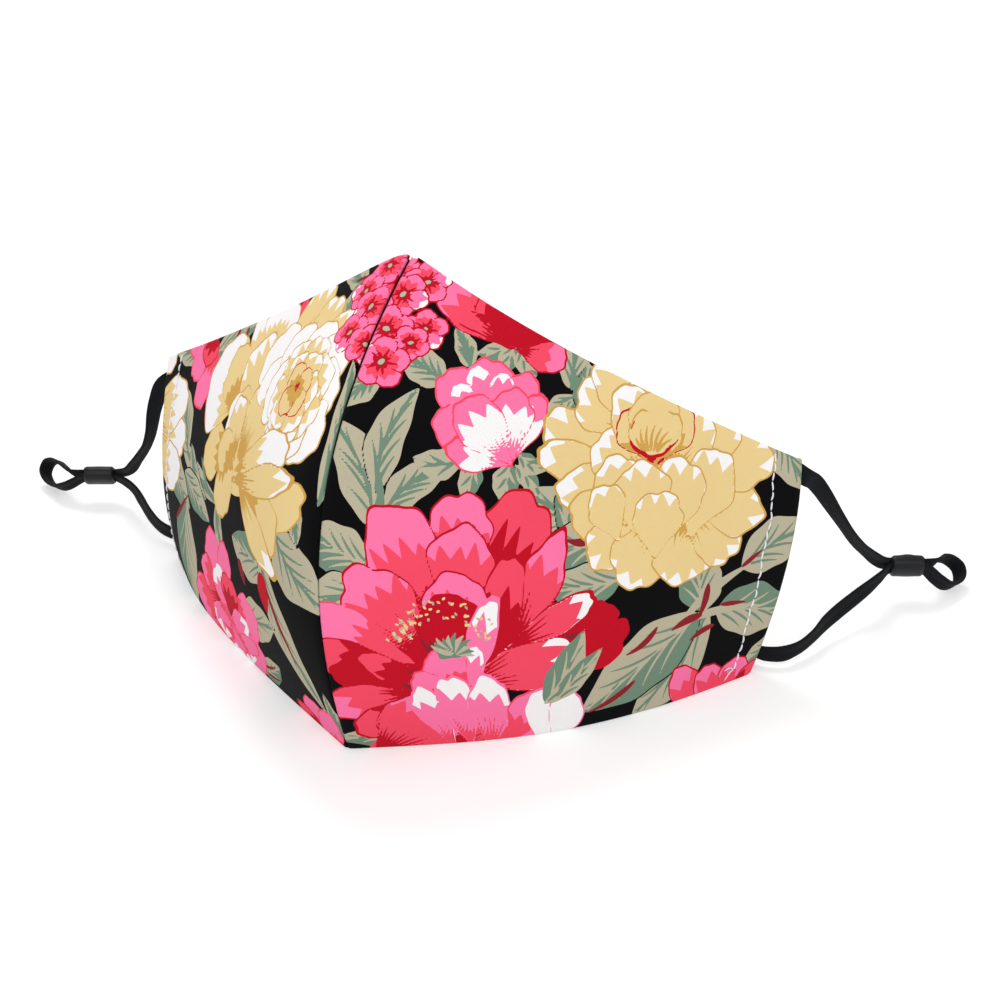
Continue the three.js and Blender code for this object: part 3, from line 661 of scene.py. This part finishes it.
def grid_faces(columns, rows, flip, close=False):
    """Quads of a grid whose points run along rows first. close joins the last row to the first."""
    i, j = np.meshgrid(np.arange(columns - 1), np.arange(rows if close else rows - 1), indexing="ij")
    a = (i * rows + j).ravel()
    d = (i * rows + (j + 1) % rows).ravel()
    quads = np.stack([a, a + rows, d + rows, d], 1)
    return (quads[:, ::-1] if flip else quads).tolist()


def tube_faces(rings, sides, flip):
    """Faces of a tube whose points run ring by ring, with a flat face over each end."""
    last = (rings - 1) * sides
    ends = [list(range(sides)), list(range(last, last + sides))[::-1]]
    return grid_faces(rings, sides, flip, close=True) + [end[::-1] if flip else end for end in ends]


def paint_uv(mesh, places):
    """Gives each point of the mesh its place on the flat cloth, fitted to the UV map's square."""
    low, high = places.min(0), places.max(0)
    fitted = (places - low) / (high - low) * 0.98 + 0.01
    layer = mesh.uv_layers.new(name="OFBake")
    corner = np.zeros(len(mesh.loops), np.int32)
    mesh.loops.foreach_get("vertex_index", corner)
    layer.data.foreach_set("uv", np.asarray(fitted, np.float32)[corner].ravel())


def number_at_points(mesh, name, values):
    attribute = mesh.attributes.new(name, "FLOAT", "POINT")
    attribute.data.foreach_set("value", np.asarray(values, np.float32))


# The panel's form

def panel_surface(side):
    """Returns point(u, v): u from the seam to the side, v from bottom to top."""
    seam = even_bezier([CHIN, *SEAM_BOW, NOSE])
    top = even_bezier([NOSE, *TOP_BOW, TOP_CORNER])
    bottom = even_bezier([CHIN, *side["bottom_bow"], side["low_corner"]])
    edge = even_bezier([side["low_corner"], side["side_bow"], TOP_CORNER])
    chin, nose, high, low = (np.array(p, float) for p in (CHIN, NOSE, TOP_CORNER, side["low_corner"]))
    peak = SWELL_PEAK * (1 - SWELL_PEAK) ** 4

    def point(u, v):
        u, v = np.broadcast_arrays(np.asarray(u, float), np.asarray(v, float))
        a, b = u[..., None], v[..., None]
        out = seam(v) * (1 - a) + edge(v) * a + bottom(u) * (1 - b) + top(u) * b
        out = out - chin * (1 - a) * (1 - b) - low * a * (1 - b) - nose * (1 - a) * b - high * a * b
        swell = SWELL_SIZE * a * (1 - a) ** 4 / peak * np.sin(np.pi * b)
        return out + swell * np.array(SWELL)

    return point


def panel_frame(surface, u, v):
    """Directions across, along and outwards. They lie flat on the bottom edge."""
    u, v = np.broadcast_arrays(np.asarray(u, float), np.asarray(v, float))
    u1 = np.minimum(np.maximum(u - STEP, 0) + 2 * STEP, 1)
    v1 = np.minimum(np.maximum(v - STEP, 0) + 2 * STEP, 1)
    across = surface(u1, v) - surface(u1 - 2 * STEP, v)
    along = surface(u, v1) - surface(u, v1 - 2 * STEP)
    out = np.cross(across, along)
    out[..., 2] = np.where(v <= 0, 0, out[..., 2])
    out[..., 0] = np.where(u <= 0, 0, out[..., 0])
    out = unit(out)
    across = unit(across - out * (across * out).sum(-1, keepdims=True))
    along = unit(along - out * (along * out).sum(-1, keepdims=True))
    return across, along, out


def flap_top(inwards):
    return 1 - (FLAP_TOP[0] + FLAP_TOP[1] * inwards) / SIDE_HEIGHT


def flap_low(inwards):
    return (FLAP_LOW[0] + FLAP_LOW[1] * inwards) / SIDE_HEIGHT


def flap_point(surface, inwards, v):
    """Middle of the folded-back flap and its outward direction, which faces the wearer."""
    u = FOLD_START - inwards / PANEL_WIDTH
    _, _, out = panel_frame(surface, u, v)
    closed = smooth((inwards - CHANNEL_WIDTH) / CHANNEL_CLOSE)
    gap = mix(2 * FOLD_RADIUS, WALL + FLAP_GAP, closed)
    return surface(u, v) - out * (WALL / 2 + gap), -out


def fold_point(surface, turn, v):
    """Middle of the cloth where it turns round the side edge; turn runs to half a turn."""
    past = smooth(max(2 * turn / math.pi - 1, 0))
    height = mix(past * flap_low(0), 1 - past * (1 - flap_top(0)), v)
    across, _, out = panel_frame(surface, FOLD_START, height)
    centre = surface(FOLD_START, height) - out * (WALL / 2 + FOLD_RADIUS)
    direction = out * math.cos(turn) + across * math.sin(turn)
    return centre + direction * FOLD_RADIUS, direction


def flat_cloth(surface):
    """Returns place(u, v): where a point of the panel lies on the flat cloth, in millimetres."""
    n = 200
    u, v = np.meshgrid(np.linspace(0, 1, n + 1), np.linspace(0, 1, n + 1), indexing="ij")
    points = surface(u, v)
    middle = points[:, n // 2]
    s = np.concatenate([[0], np.cumsum(np.linalg.norm(np.diff(middle, axis=0), axis=1))])
    steps = np.linalg.norm(np.diff(points, axis=1), axis=2)
    t = np.concatenate([np.zeros((n + 1, 1)), np.cumsum(steps, axis=1)], axis=1)
    t = t - t[:, n // 2][:, None]

    def place(at_u, at_v):
        x, y = np.clip(at_u, 0, 1) * n, np.clip(at_v, 0, 1) * n
        i, j = np.minimum(x.astype(int), n - 1), np.minimum(y.astype(int), n - 1)
        a, b = x - i, y - j
        high = mix(mix(t[i, j], t[i + 1, j], a), mix(t[i, j + 1], t[i + 1, j + 1], a), b)
        return mix(s[i], s[i + 1], a), high

    return place


# Elastic

def catmull(points):
    """Returns point(t) on a smooth curve through the points, as the CAD model draws it."""
    points = np.asarray(points, float)
    ends = [2 * points[0] - points[1], 2 * points[-1] - points[-2]]
    row = np.vstack([ends[0], points, ends[1]])
    gap = np.linalg.norm(np.diff(row, axis=0), axis=1) ** 0.5
    gap[gap < 1e-4] = 1.0

    def point(t):
        place = np.asarray(t, float) * (len(points) - 1)
        k = np.minimum(place.astype(int), len(points) - 2)
        w = (place - k)[:, None]
        p0, p1, p2, p3 = (row[k + n] for n in range(4))
        d0, d1, d2 = (gap[k + n][:, None] for n in range(3))
        m1 = ((p1 - p0) / d0 - (p2 - p0) / (d0 + d1) + (p2 - p1) / d1) * d1
        m2 = ((p2 - p1) / d1 - (p3 - p1) / (d1 + d2) + (p3 - p2) / d2) * d1
        w2, w3 = w * w, w * w * w
        return p1 + m1 * w + (3 * (p2 - p1) - 2 * m1 - m2) * w2 + (2 * (p1 - p2) + m1 + m2) * w3

    return point


def channel_rows(surface, start, mouth, heading):
    u = FOLD_START - BAND_DEPTH_IN / PANEL_WIDTH
    rows = []
    for k in range(CHANNEL_ROWS):
        v = mix(start, mouth, k / CHANNEL_ROWS)
        across, _, out = panel_frame(surface, u, v)
        rows.append((surface(u, v) - out * (WALL / 2 + FOLD_RADIUS), across * heading))
    return rows


def wrap_rows(surface, end_of, heading):
    """Rows where the band turns over the flap's sloping end and comes out behind the fold."""
    centre, _ = flap_point(surface, BAND_DEPTH_IN, end_of(BAND_DEPTH_IN))
    outer, _ = flap_point(surface, BAND_DEPTH_IN - 1, end_of(BAND_DEPTH_IN - 1))
    line = unit(outer - centre)
    _, along, out = panel_frame(surface, FOLD_START - BAND_DEPTH_IN / PANEL_WIDTH, end_of(BAND_DEPTH_IN))
    strip = along * heading
    slope = float(strip @ line)
    flat = math.sqrt(1 - slope ** 2)
    over = unit(strip - line * slope)
    radius = WALL / 2 + WRAP_CLEAR + BAND_THICK / 2
    rows = []
    for k in range(WRAP_STEPS + 1):
        turn = math.pi * k / WRAP_STEPS
        away = out * math.cos(turn) + over * math.sin(turn)
        point = centre + away * radius + line * radius * slope / flat * (turn - math.pi / 2)
        tangent = line * slope - out * math.sin(turn) * flat + over * math.cos(turn) * flat
        rows.append((point, unit(np.cross(tangent, away))))
    return rows


def slider_frame(slider):
    near, far = np.array(slider["near"], float), np.array(slider["far"], float)
    axis = unit(far - near)
    width = np.array(slider["across"], float)
    width = unit(width - axis * (width @ axis))
    thickness = np.cross(axis, width)
    if thickness[2] < 0:
        thickness, width = -thickness, -width
    return (near + far) / 2, axis, width, thickness


def slider_rows(place, lift, across):
    centre, axis, _, thickness = place
    middle = centre + thickness * lift * (BAND_THICK + STRAND_GAP) / 2
    return [(middle + axis * far, across) for far in (-SLIDER_LENGTH / 2, 0, SLIDER_LENGTH / 2)]


def band_rows(surface, loop):
    """The whole band: channel, top mouth, upper strand, slider, end loop, slider, lower strand, channel."""
    place = slider_frame(loop["slider"])
    across = np.array(loop["slider"]["across"], float)
    upper, end, lower = (
        [(np.array(row[:3], float), np.array(row[3:], float)) for row in loop[part]]
        for part in ("upper", "end", "lower")
    )
    return [
        *channel_rows(surface, JOIN_TOP, flap_top(BAND_DEPTH_IN), 1),
        *wrap_rows(surface, flap_top, 1),
        *upper,
        *slider_rows(place, 1, across),
        *end,
        *slider_rows(place, -1, across)[::-1],
        *lower,
        *wrap_rows(surface, flap_low, -1)[::-1],
        *channel_rows(surface, JOIN_LOW, flap_low(BAND_DEPTH_IN), -1)[::-1],
    ]


def band_section():
    """Shares of half-width and half-thickness round the band, with a shallow groove along each face."""
    across = np.array([1.0, 0.97, 0.86, 0.62, 0.36, 0.14, 0.0])
    thick = np.array([0.0, 0.55, 0.92, 1.0, 0.98, 0.86, 0.66])
    x = np.concatenate([across, -across[-2::-1], -across[1:], across[-2:0:-1]])
    y = np.concatenate([thick, thick[-2::-1], -thick[1:], -thick[-2:0:-1]])
    return x, y


def build_elastic(name, side, material):
    surface = panel_surface(side)
    rows = band_rows(surface, LOOPS[name])
    t = np.linspace(0, 1, BAND_STEPS + 1)
    middle = catmull([r[0] for r in rows])(t)
    tangent = unit(np.gradient(middle, axis=0))
    width = catmull([r[1] for r in rows])(t)
    width = unit(width - tangent * (width * tangent).sum(1, keepdims=True))
    normal = np.cross(tangent, width)
    x, y = band_section()
    far = np.concatenate([[0], np.cumsum(np.linalg.norm(np.diff(middle, axis=0), axis=1))])
    points = (
        middle[:, None]
        + width[:, None] * (x * BAND_WIDTH / 2)[None, :, None]
        + normal[:, None] * (y * BAND_THICK / 2)[None, :, None]
    )
    sign = side["sign"]
    faces = tube_faces(len(t), len(x), sign < 0)
    piece = mesh_piece(f"elastic_band_{name}", to_model(points.reshape(-1, 3), sign), faces, material)
    number_at_points(piece.data, "along", np.repeat(far, len(x)))
    number_at_points(piece.data, "across", np.tile(x * BAND_WIDTH / 2, len(t)))
    return piece, to_model(middle, sign), far[-1] * MM


# Cloth

def rim_turns(low, high, steps, at_low, at_high):
    """Places along one edge direction, with a half turn of rim at an end that has one: (share, turn)."""
    out = []
    if at_low:
        out += [(low, -math.pi * (RIM_STEPS - k) / RIM_STEPS) for k in range(RIM_STEPS)]
    out += [(mix(low, high, k / steps), 0.0) for k in range(steps + 1)]
    if at_high:
        out += [(high, math.pi * (k + 1) / RIM_STEPS) for k in range(RIM_STEPS)]
    return np.array(out)


def round_rim(across, along, out, turn_u, turn_v):
    """Direction from the cloth's middle to its surface where it rounds a rim."""
    turn_u, turn_v = turn_u[..., None], turn_v[..., None]
    height = np.minimum(np.cos(turn_u), np.cos(turn_v))
    return unit(out * height + across * np.sin(turn_u) + along * np.sin(turn_v))


def cloth_points(side):
    """One panel's outside, from the seam's rim round the side fold to the flap, and its flat places."""
    surface = panel_surface(side)
    place = flat_cloth(surface)
    half = WALL / 2
    inset = half / SIDE_HEIGHT
    columns = []
    for u, turn in rim_turns(half / PANEL_WIDTH, FOLD_START, COLUMNS, True, False):
        length = float(np.ptp(place(np.array([u, u]), np.array([0.0, 1.0]))[1]))
        rows = rim_turns(half / length, 1 - half / length, ROWS, True, True)
        v = rows[:, 0]
        across, along, out = panel_frame(surface, np.full_like(v, u), v)
        middle = surface(np.full_like(v, u), v) - out * half
        point = middle + half * round_rim(across, along, out, np.full_like(v, turn), rows[:, 1])
        s, t = place(np.full_like(v, u), v)
        columns.append((point, s + turn * half, t + rows[:, 1] * half))
    rows = rim_turns(inset, 1 - inset, ROWS, True, True)
    s_end = columns[-1][1][0]
    for k in range(1, FOLD_COLUMNS + 1):
        turn = math.pi * k / FOLD_COLUMNS
        columns.append(side_column(surface, place, rows, s_end + turn * FOLD_RADIUS, turn, None))
    for k in range(1, FLAP_COLUMNS + 1):
        inwards = FLAP_WIDTH * k / FLAP_COLUMNS
        far = s_end + math.pi * FOLD_RADIUS + inwards
        columns.append(side_column(surface, place, rows, far, None, inwards))
    points = np.stack([c[0] for c in columns])
    flat = np.stack([np.stack([c[1], c[2]], -1) for c in columns])
    return points, flat


def side_column(surface, place, rows, s, turn, inwards):
    """One column of cloth on the side fold or on the flap behind it."""
    point, out = [], []
    for share in rows[:, 0]:
        if inwards is None:
            middle, way = fold_point(surface, turn, share)
        else:
            height = mix(flap_low(inwards), flap_top(inwards), share)
            middle, way = flap_point(surface, inwards, height)
        point.append(middle)
        out.append(way)
    point, out = np.array(point), np.array(out)
    along = unit(np.gradient(point, axis=0) + 1e-9)
    turned = rows[:, 1][:, None]
    direction = unit(out * np.cos(turned) + along * np.sin(turned))
    _, t = place(np.full(len(rows), FOLD_START), rows[:, 0])
    return point + direction * WALL / 2, np.full(len(rows), s), t + rows[:, 1] * WALL / 2


def seam_pull(points, flat):
    """Draws the cloth in beside the seam, where the stitches hold it."""
    near = np.exp(-((flat[..., 0] - DIP_AT) / DIP_REACH) ** 2)
    ripple = 0.5 + 0.5 * np.sin(flat[..., 1] * 2 * math.pi / DIP_PITCH)
    return points + (near * (DIP_DEPTH[0] + DIP_DEPTH[1] * ripple))[..., None] * np.array(DIP_WAY)


def cloth_mesh(name, points, flat, sign, flip, material):
    """A piece from a grid of points, each of which keeps its place on the flat cloth."""
    faces = grid_faces(*points.shape[:2], flip)
    piece = mesh_piece(name, to_model(points.reshape(-1, 3), sign), faces, material)
    places = flat.reshape(-1, 2)
    number_at_points(piece.data, "cloth_s", places[:, 0])
    number_at_points(piece.data, "cloth_t", places[:, 1])
    paint_uv(piece.data, places)
    return piece


def build_cloth(name, side, design, material):
    points, flat = cloth_points(side)
    points = seam_pull(points, flat)
    points[..., 0] = np.maximum(points[..., 0], SEAM_X / 2)
    points[..., 2] = np.maximum(points[..., 2], 0)
    piece = cloth_mesh(f"cloth_{name}", points, flat, side["sign"], side["sign"] < 0, material)
    for ink, values in zip(INKS, draw_print(flat.reshape(-1, 2), design)):
        number_at_points(piece.data, f"ink_{ink}", values)
    return piece, surface_area(points)


def surface_area(points):
    a = points[1:, :-1] - points[:-1, :-1]
    b = points[:-1, 1:] - points[:-1, :-1]
    return float(np.linalg.norm(np.cross(a, b), axis=-1).sum()) * MM * MM


def build_inside(name, side, material):
    """The inside face of the panel, from the rims to under the side's flap."""
    surface = panel_surface(side)
    across, up = np.linspace(0.004, FOLD_START, INSIDE_STEPS), np.linspace(0.008, 0.992, INSIDE_STEPS)
    u, v = np.meshgrid(across, up, indexing="ij")
    _, _, out = panel_frame(surface, u, v)
    points = surface(u, v) - out * (WALL - 0.02)
    points[..., 0] = np.maximum(points[..., 0], SEAM_X + 0.1)
    flat = np.stack(flat_cloth(surface)(u, v), -1)
    piece = cloth_mesh(f"inside_{name}", points, flat, side["sign"], side["sign"] > 0, material)
    return piece, surface_area(points)


def thread_run(points, normals, thick):
    """One stitch: a short tapered strand along its points."""
    tangent = unit(np.gradient(points, axis=0))
    aside = np.cross(tangent, normals)
    ring = np.linspace(0, 2 * math.pi, THREAD_SIDES, endpoint=False)
    share = np.linspace(0, 1, len(points))
    size = thick * np.sqrt(np.clip(1 - (2 * share - 1) ** 4, 0.05, 1))
    spread = aside[:, None] * np.cos(ring)[None, :, None] + normals[:, None] * np.sin(ring)[None, :, None]
    return points[:, None] + spread * size[:, None, None]


def build_seam_fold(material):
    """The dark fold of cloth between the two panels, where they are sewn together."""
    v = np.linspace(0.004, 0.996, SEAM_STEPS)
    u = np.full_like(v, SEAM_ARM / PANEL_WIDTH)
    ridge, arm = [], []
    surface = panel_surface(SIDES["right"])
    for depth in (SEAM_DEPTH, WALL + 0.3):
        _, _, out = panel_frame(surface, u * 0, v)
        ridge.append((surface(u * 0, v) - out * depth) * np.array([0, 1, 1]))
    for name in ("right", "left"):
        surface = panel_surface(SIDES[name])
        _, _, out = panel_frame(surface, u, v)
        for depth in (SEAM_DEPTH, WALL - 0.2):
            arm.append(to_model(surface(u, v) - out * depth, SIDES[name]["sign"]))
    ridge = [to_model(points, 1) for points in ridge]
    rings = np.stack([ridge[0], arm[0], arm[1], ridge[1], arm[3], arm[2]], 1)
    return mesh_piece("seam_fold", rings.reshape(-1, 3), tube_faces(*rings.shape[:2], False), material)


def build_stitches(name, side, material):
    """White thread that sews down the flap, with its loose ends at the foot."""
    surface = panel_surface(side)
    u0 = FOLD_START - STITCH_IN[name] / PANEL_WIDTH
    low, high = STITCH_FROM / SIDE_HEIGHT, 1 - STITCH_TO / SIDE_HEIGHT
    count = int((high - low) * SIDE_HEIGHT / STITCH_PITCH)
    arch = np.linspace(0, math.pi, STITCH_POINTS)
    strands = []
    for k in range(count):
        v = mix(low, high, np.linspace(k + 0.04, k + 0.98, STITCH_POINTS) / count)
        sway = STITCH_SWAY * np.sin(arch + k * 2.4) + 0.25 * math.sin(k * 0.9)
        u = u0 + sway / PANEL_WIDTH
        _, _, out = panel_frame(surface, u, v)
        lift = THREAD * (0.9 * np.sin(arch) - 0.25)
        strands.append(thread_run(surface(u, v) + out * lift[:, None], out, THREAD))
    for dx, dv in LOOSE_ENDS:
        w = np.linspace(0, 1, 9)
        v = low + dv * w + 0.01 * np.sin(w * 4)
        u = u0 - dx * w / PANEL_WIDTH
        _, _, out = panel_frame(surface, u, v)
        strands.append(thread_run(surface(u, v) + out * THREAD * 0.8, out, THREAD * 0.6))
    points, faces = [], []
    for strand in strands:
        start = len(points)
        points += strand.reshape(-1, 3).tolist()
        faces += [[start + n for n in f] for f in tube_faces(*strand.shape[:2], side["sign"] > 0)]
    return mesh_piece(f"stitches_{name}", to_model(points, side["sign"]), faces, material)


# Slider

def oval(half_width, top, bottom, count=40):
    """A flattened ring, wider than high."""
    angle = np.linspace(0, 2 * math.pi, count, endpoint=False)
    x = np.sign(np.cos(angle)) * np.abs(np.cos(angle)) ** 0.75 * half_width
    y = np.sign(np.sin(angle)) * np.abs(np.sin(angle)) ** 0.85
    return np.stack([x, np.where(y > 0, y * top, y * bottom)], 1)


def build_slider(name, side, hump, material):
    centre, axis, width, thickness = slider_frame(LOOPS[name]["slider"])
    half = SLIDER_LENGTH / 2
    turns = [math.pi / 2 * k / SLIDER_TURNS for k in range(SLIDER_TURNS + 1)]
    corner = [(-half + SLIDER_ROUND * (1 - math.cos(w)), SLIDER_ROUND * (1 - math.sin(w))) for w in turns]
    body = [(a, 0.0) for a in np.linspace(-half + SLIDER_ROUND, half - SLIDER_ROUND, 15)[1:-1]]
    rings = corner + body + [(-a, inset) for a, inset in corner[::-1]]
    stations = [(a, *slider_sizes(a / half, inset, hump)) for a, inset in rings]
    wide, high = SLIDER_HOLE
    deep, more = SLIDER_MOUTH
    for a, grow in ((half, more), (half - deep, 0), (0, 0), (deep - half, 0), (-half, more)):
        stations.append((a, wide + grow, high + grow, high + grow))
    points = []
    for a, across, top, bottom in stations:
        ring = oval(across, top, bottom)
        points.append(centre + axis * a + ring[:, :1] * width + ring[:, 1:] * thickness)
    points = np.array(points)
    points = np.concatenate([points, points[:1]])
    count = points.shape[1]
    faces = grid_faces(len(points), count, side["sign"] > 0, close=True)
    last = (len(points) - 1) * count
    faces = [[n - last if n >= last else n for n in face] for face in faces]
    places = to_model(points[:-1].reshape(-1, 3), side["sign"])
    return mesh_piece(f"slider_{name}_piece", places, faces, material)


def slider_sizes(share, inset, hump):
    """Half-width and upper and lower half-heights of the slider at a share of its half-length."""
    bulge = math.exp(-(share / 0.42) ** 2)
    flare = 0.12 * abs(share) ** 2
    wide, high = SLIDER_HALF
    across = wide * (1 - 0.08 * share * share) + flare
    return across - inset, high + hump * bulge + flare - inset, high + 0.25 * hump * bulge + flare - inset


# Materials

class Nodes:
    """Short calls that add nodes to one material."""

    def __init__(self, name):
        self.material = bpy.data.materials.new(name)
        self.material.use_nodes = True
        self.tree = self.material.node_tree
        self.shader = self.tree.nodes["Principled BSDF"]

    def add(self, kind, **values):
        node = self.tree.nodes.new(kind)
        for key, value in values.items():
            setattr(node, key, value)
        return node

    def feed(self, socket, value):
        """Links an output to the socket, or sets a plain value on it."""
        if isinstance(value, bpy.types.NodeSocket):
            self.tree.links.new(value, socket)
        else:
            socket.default_value = value

    def number(self, name):
        return self.add("ShaderNodeAttribute", attribute_name=name).outputs["Fac"]

    def math(self, operation, a, b=0.0, c=0.0):
        node = self.add("ShaderNodeMath", operation=operation)
        for socket, value in zip(node.inputs, (a, b, c)):
            self.feed(socket, value)
        return node.outputs[0]

    def blend(self, factor, a, b, mode="MIX"):
        node = self.add("ShaderNodeMix", data_type="RGBA", blend_type=mode)
        for socket, value in (("Factor", factor), ("A", a), ("B", b)):
            self.feed(node.inputs[socket], value)
        return node.outputs["Result"]

    def shaded(self, colour, grey):
        """The colour darkened by a grey from 0 to 1."""
        combine = self.add("ShaderNodeCombineColor")
        for socket in combine.inputs[:3]:
            self.feed(socket, grey)
        return self.blend(1.0, colour, combine.outputs[0], "MULTIPLY")

    def noise(self, scale, detail=2.0):
        where = self.add("ShaderNodeTexCoord").outputs["Object"]
        node = self.add("ShaderNodeTexNoise")
        for socket, value in (("Scale", scale), ("Detail", detail), ("Vector", where)):
            self.feed(node.inputs[socket], value)
        return node.outputs["Fac"]

    def wave(self, place, pitch, shift=0.0):
        return self.math("SINE", self.math("MULTIPLY_ADD", place, 2 * math.pi / pitch, shift))

    def bump(self, height, strength, distance):
        node = self.add("ShaderNodeBump")
        for socket, value in (("Strength", strength), ("Distance", distance), ("Height", height)):
            self.feed(node.inputs[socket], value)
        self.set(Normal=node.outputs["Normal"])

    def set(self, **values):
        """Sets or links the shader's inputs, with _ for the space in their names."""
        for key, value in values.items():
            self.feed(self.shader.inputs[key.replace("_", " ")], value)


def linear(colour):
    """A display colour as the light it stands for."""
    light = [c / 12.92 if c <= 0.04045 else ((c + 0.055) / 1.055) ** 2.4 for c in colour]
    return tuple(INK_DEPTH * c for c in light) + (1.0,)


def weave_height(nodes):
    """Threads over and under one another, with some unevenness."""
    s, t = nodes.number("cloth_s"), nodes.number("cloth_t")
    diagonal = nodes.math("ADD", s, t)
    twill = nodes.wave(diagonal, WEAVE_PITCH)
    cross = nodes.math("MULTIPLY", nodes.wave(s, WEAVE_PITCH * 1.4), nodes.wave(t, WEAVE_PITCH * 1.4))
    fuzz = nodes.noise(2500.0, 3.0)
    threads = nodes.math("MULTIPLY_ADD", twill, 0.35, nodes.math("MULTIPLY", cross, 0.4))
    return nodes.math("ADD", threads, fuzz)


def cloth_material():
    nodes = Nodes("printed_cotton")
    best = nodes.number(f"ink_{NAMES[0]}")
    colour = linear(INKS[NAMES[0]])
    for name in NAMES[1:]:
        field = nodes.number(f"ink_{name}")
        wins = nodes.math("GREATER_THAN", field, best)
        colour = nodes.blend(wins, colour, linear(INKS[name]))
        best = nodes.math("MAXIMUM", best, field)
    height = weave_height(nodes)
    shade = nodes.math("MULTIPLY_ADD", height, 0.05, 0.965)
    patchy = nodes.math("MULTIPLY_ADD", nodes.noise(60.0), 0.06, 0.965)
    nodes.set(Base_Color=nodes.shaded(colour, nodes.math("MULTIPLY", shade, patchy)))
    nodes.bump(height, 0.35, WEAVE_RELIEF)
    nodes.set(Roughness=0.82, Specular_IOR_Level=0.05, Sheen_Weight=0.01, Sheen_Roughness=0.5)
    return nodes.material


def plain_cotton(name, colour):
    nodes = Nodes(name)
    height = weave_height(nodes)
    shade = nodes.math("MULTIPLY_ADD", height, 0.12, 0.9)
    nodes.set(Base_Color=nodes.shaded(linear(colour), shade))
    nodes.bump(height, 0.4, WEAVE_RELIEF)
    nodes.set(Roughness=0.85, Specular_IOR_Level=0.2, Sheen_Weight=0.1)
    return nodes.material


def elastic_material():
    nodes = Nodes("knitted_elastic")
    along, across = nodes.number("along"), nodes.number("across")
    lean = nodes.math("MULTIPLY", nodes.math("ABSOLUTE", across), 0.8)
    rib = nodes.wave(nodes.math("ADD", along, lean), 0.62)
    cord = nodes.wave(across, 0.7)
    knit = nodes.math("MULTIPLY_ADD", rib, 0.5, nodes.math("MULTIPLY", cord, 0.35))
    height = nodes.math("ADD", knit, nodes.noise(3000.0))
    # Painted shade and light: the band's colour runs from the shaded dark in the knit's grooves to the lit grey
    # on its raised ribs, following the bump height; the fine noise in the height adds a random fuzz
    rib_shade_and_fuzz = nodes.math("MULTIPLY_ADD", height, 0.14, 0.25)
    nodes.set(Base_Color=nodes.blend(rib_shade_and_fuzz, linear(ELASTIC_GROOVE_SHADE), linear(ELASTIC_RIB_LIT)))
    nodes.bump(height, 0.6, 0.0001)
    nodes.set(Roughness=0.75, Specular_IOR_Level=0.06, Sheen_Weight=0.02)
    return nodes.material


def slider_material():
    nodes = Nodes("soft_plastic")
    grain = nodes.noise(900.0, 3.0)
    rough = nodes.math("MULTIPLY_ADD", nodes.noise(260.0), 0.2, 0.3)
    colour = nodes.blend(grain, linear(SLIDER_DARK), linear(SLIDER_LIGHT))
    nodes.bump(grain, 0.12, 0.00008)
    nodes.set(Base_Color=colour, Roughness=rough, Specular_IOR_Level=0.22)
    return nodes.material


def thread_material():
    nodes = Nodes("sewing_thread")
    ply = nodes.noise(4200.0, 2.0)
    nodes.set(Base_Color=nodes.blend(ply, linear(THREAD_DARK), linear(THREAD_LIGHT)))
    nodes.bump(ply, 0.4, 0.00005)
    nodes.set(Roughness=0.6, Sheen_Weight=0.2)
    return nodes.material


def floor_material():
    nodes = Nodes("pale_floor")
    nodes.set(Base_Color=nodes.blend(nodes.noise(3.0), FLOOR_DARK, FLOOR_LIGHT))
    nodes.set(Roughness=0.95, Specular_IOR_Level=0.05, Emission_Color=WHITE, Emission_Strength=FLOOR_GLOW)
    return nodes.material


# Scene

def make_camera():
    data = bpy.data.cameras.new("camera")
    data.lens = CAMERA_LENS
    data.sensor_width = SENSOR
    camera = bpy.data.objects.new("camera", data)
    bpy.context.scene.collection.objects.link(camera)
    camera.location = CAMERA_AT
    a, e = CAMERA_TURN, CAMERA_TILT
    back = Vector((math.sin(a) * math.cos(e), -math.cos(a) * math.cos(e), math.sin(e)))
    camera.rotation_mode = "QUATERNION"
    camera.rotation_quaternion = (-back).to_track_quat("-Z", "Y")
    bpy.context.scene.camera = camera


def area_light(name, place, aim, size, power):
    data = bpy.data.lights.new(name, "AREA")
    data.shape = "DISK"
    data.size = size
    data.energy = power
    light = bpy.data.objects.new(name, data)
    light.location = place
    light.rotation_mode = "QUATERNION"
    light.rotation_quaternion = (Vector(aim) - Vector(place)).to_track_quat("-Z", "Y")
    bpy.context.scene.collection.objects.link(light)


def make_studio():
    world = bpy.data.worlds.new("studio")
    world.use_nodes = True
    background = world.node_tree.nodes["Background"].inputs
    background["Color"].default_value = WHITE
    background["Strength"].default_value = WORLD_LIGHT
    bpy.context.scene.world = world
    for light in LIGHTS:
        area_light(*light)
    corners = [(x * FLOOR_HALF, y * FLOOR_HALF, 0) for x, y in ((-1, -1), (1, -1), (1, 1), (-1, 1))]
    floor = mesh_piece("floor", corners, [(0, 1, 2, 3)], floor_material())
    bpy.context.scene.view_settings.view_transform = "Standard"


def make_ear_loops():
    band, plastic = elastic_material(), slider_material()
    for name, side in SIDES.items():
        slider = build_slider(name, side, SLIDER_HUMP[name], plastic)
        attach(slider, "root")
        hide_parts(f"slider_{name}")
        piece, route, length = build_elastic(name, side, band)
        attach(piece, "root")
        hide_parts(f"elastic_{name}")


def make_panels():
    cotton = cloth_material()
    inner = plain_cotton("inside_cotton", INSIDE)
    thread = thread_material()
    fold = build_seam_fold(plain_cotton("black_cotton", INKS["black"]))
    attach(fold, "root")
    for name, side in SIDES.items():
        cloth, cloth_area = build_cloth(name, side, DESIGNS[name], cotton)
        inside, inside_area = build_inside(name, side, inner)
        stitches = build_stitches(name, side, thread)
        for piece in (cloth, inside, stitches):
            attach(piece, "root")
        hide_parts(f"panel_{name}")


make_camera()
make_ear_loops()
make_panels()
make_studio()
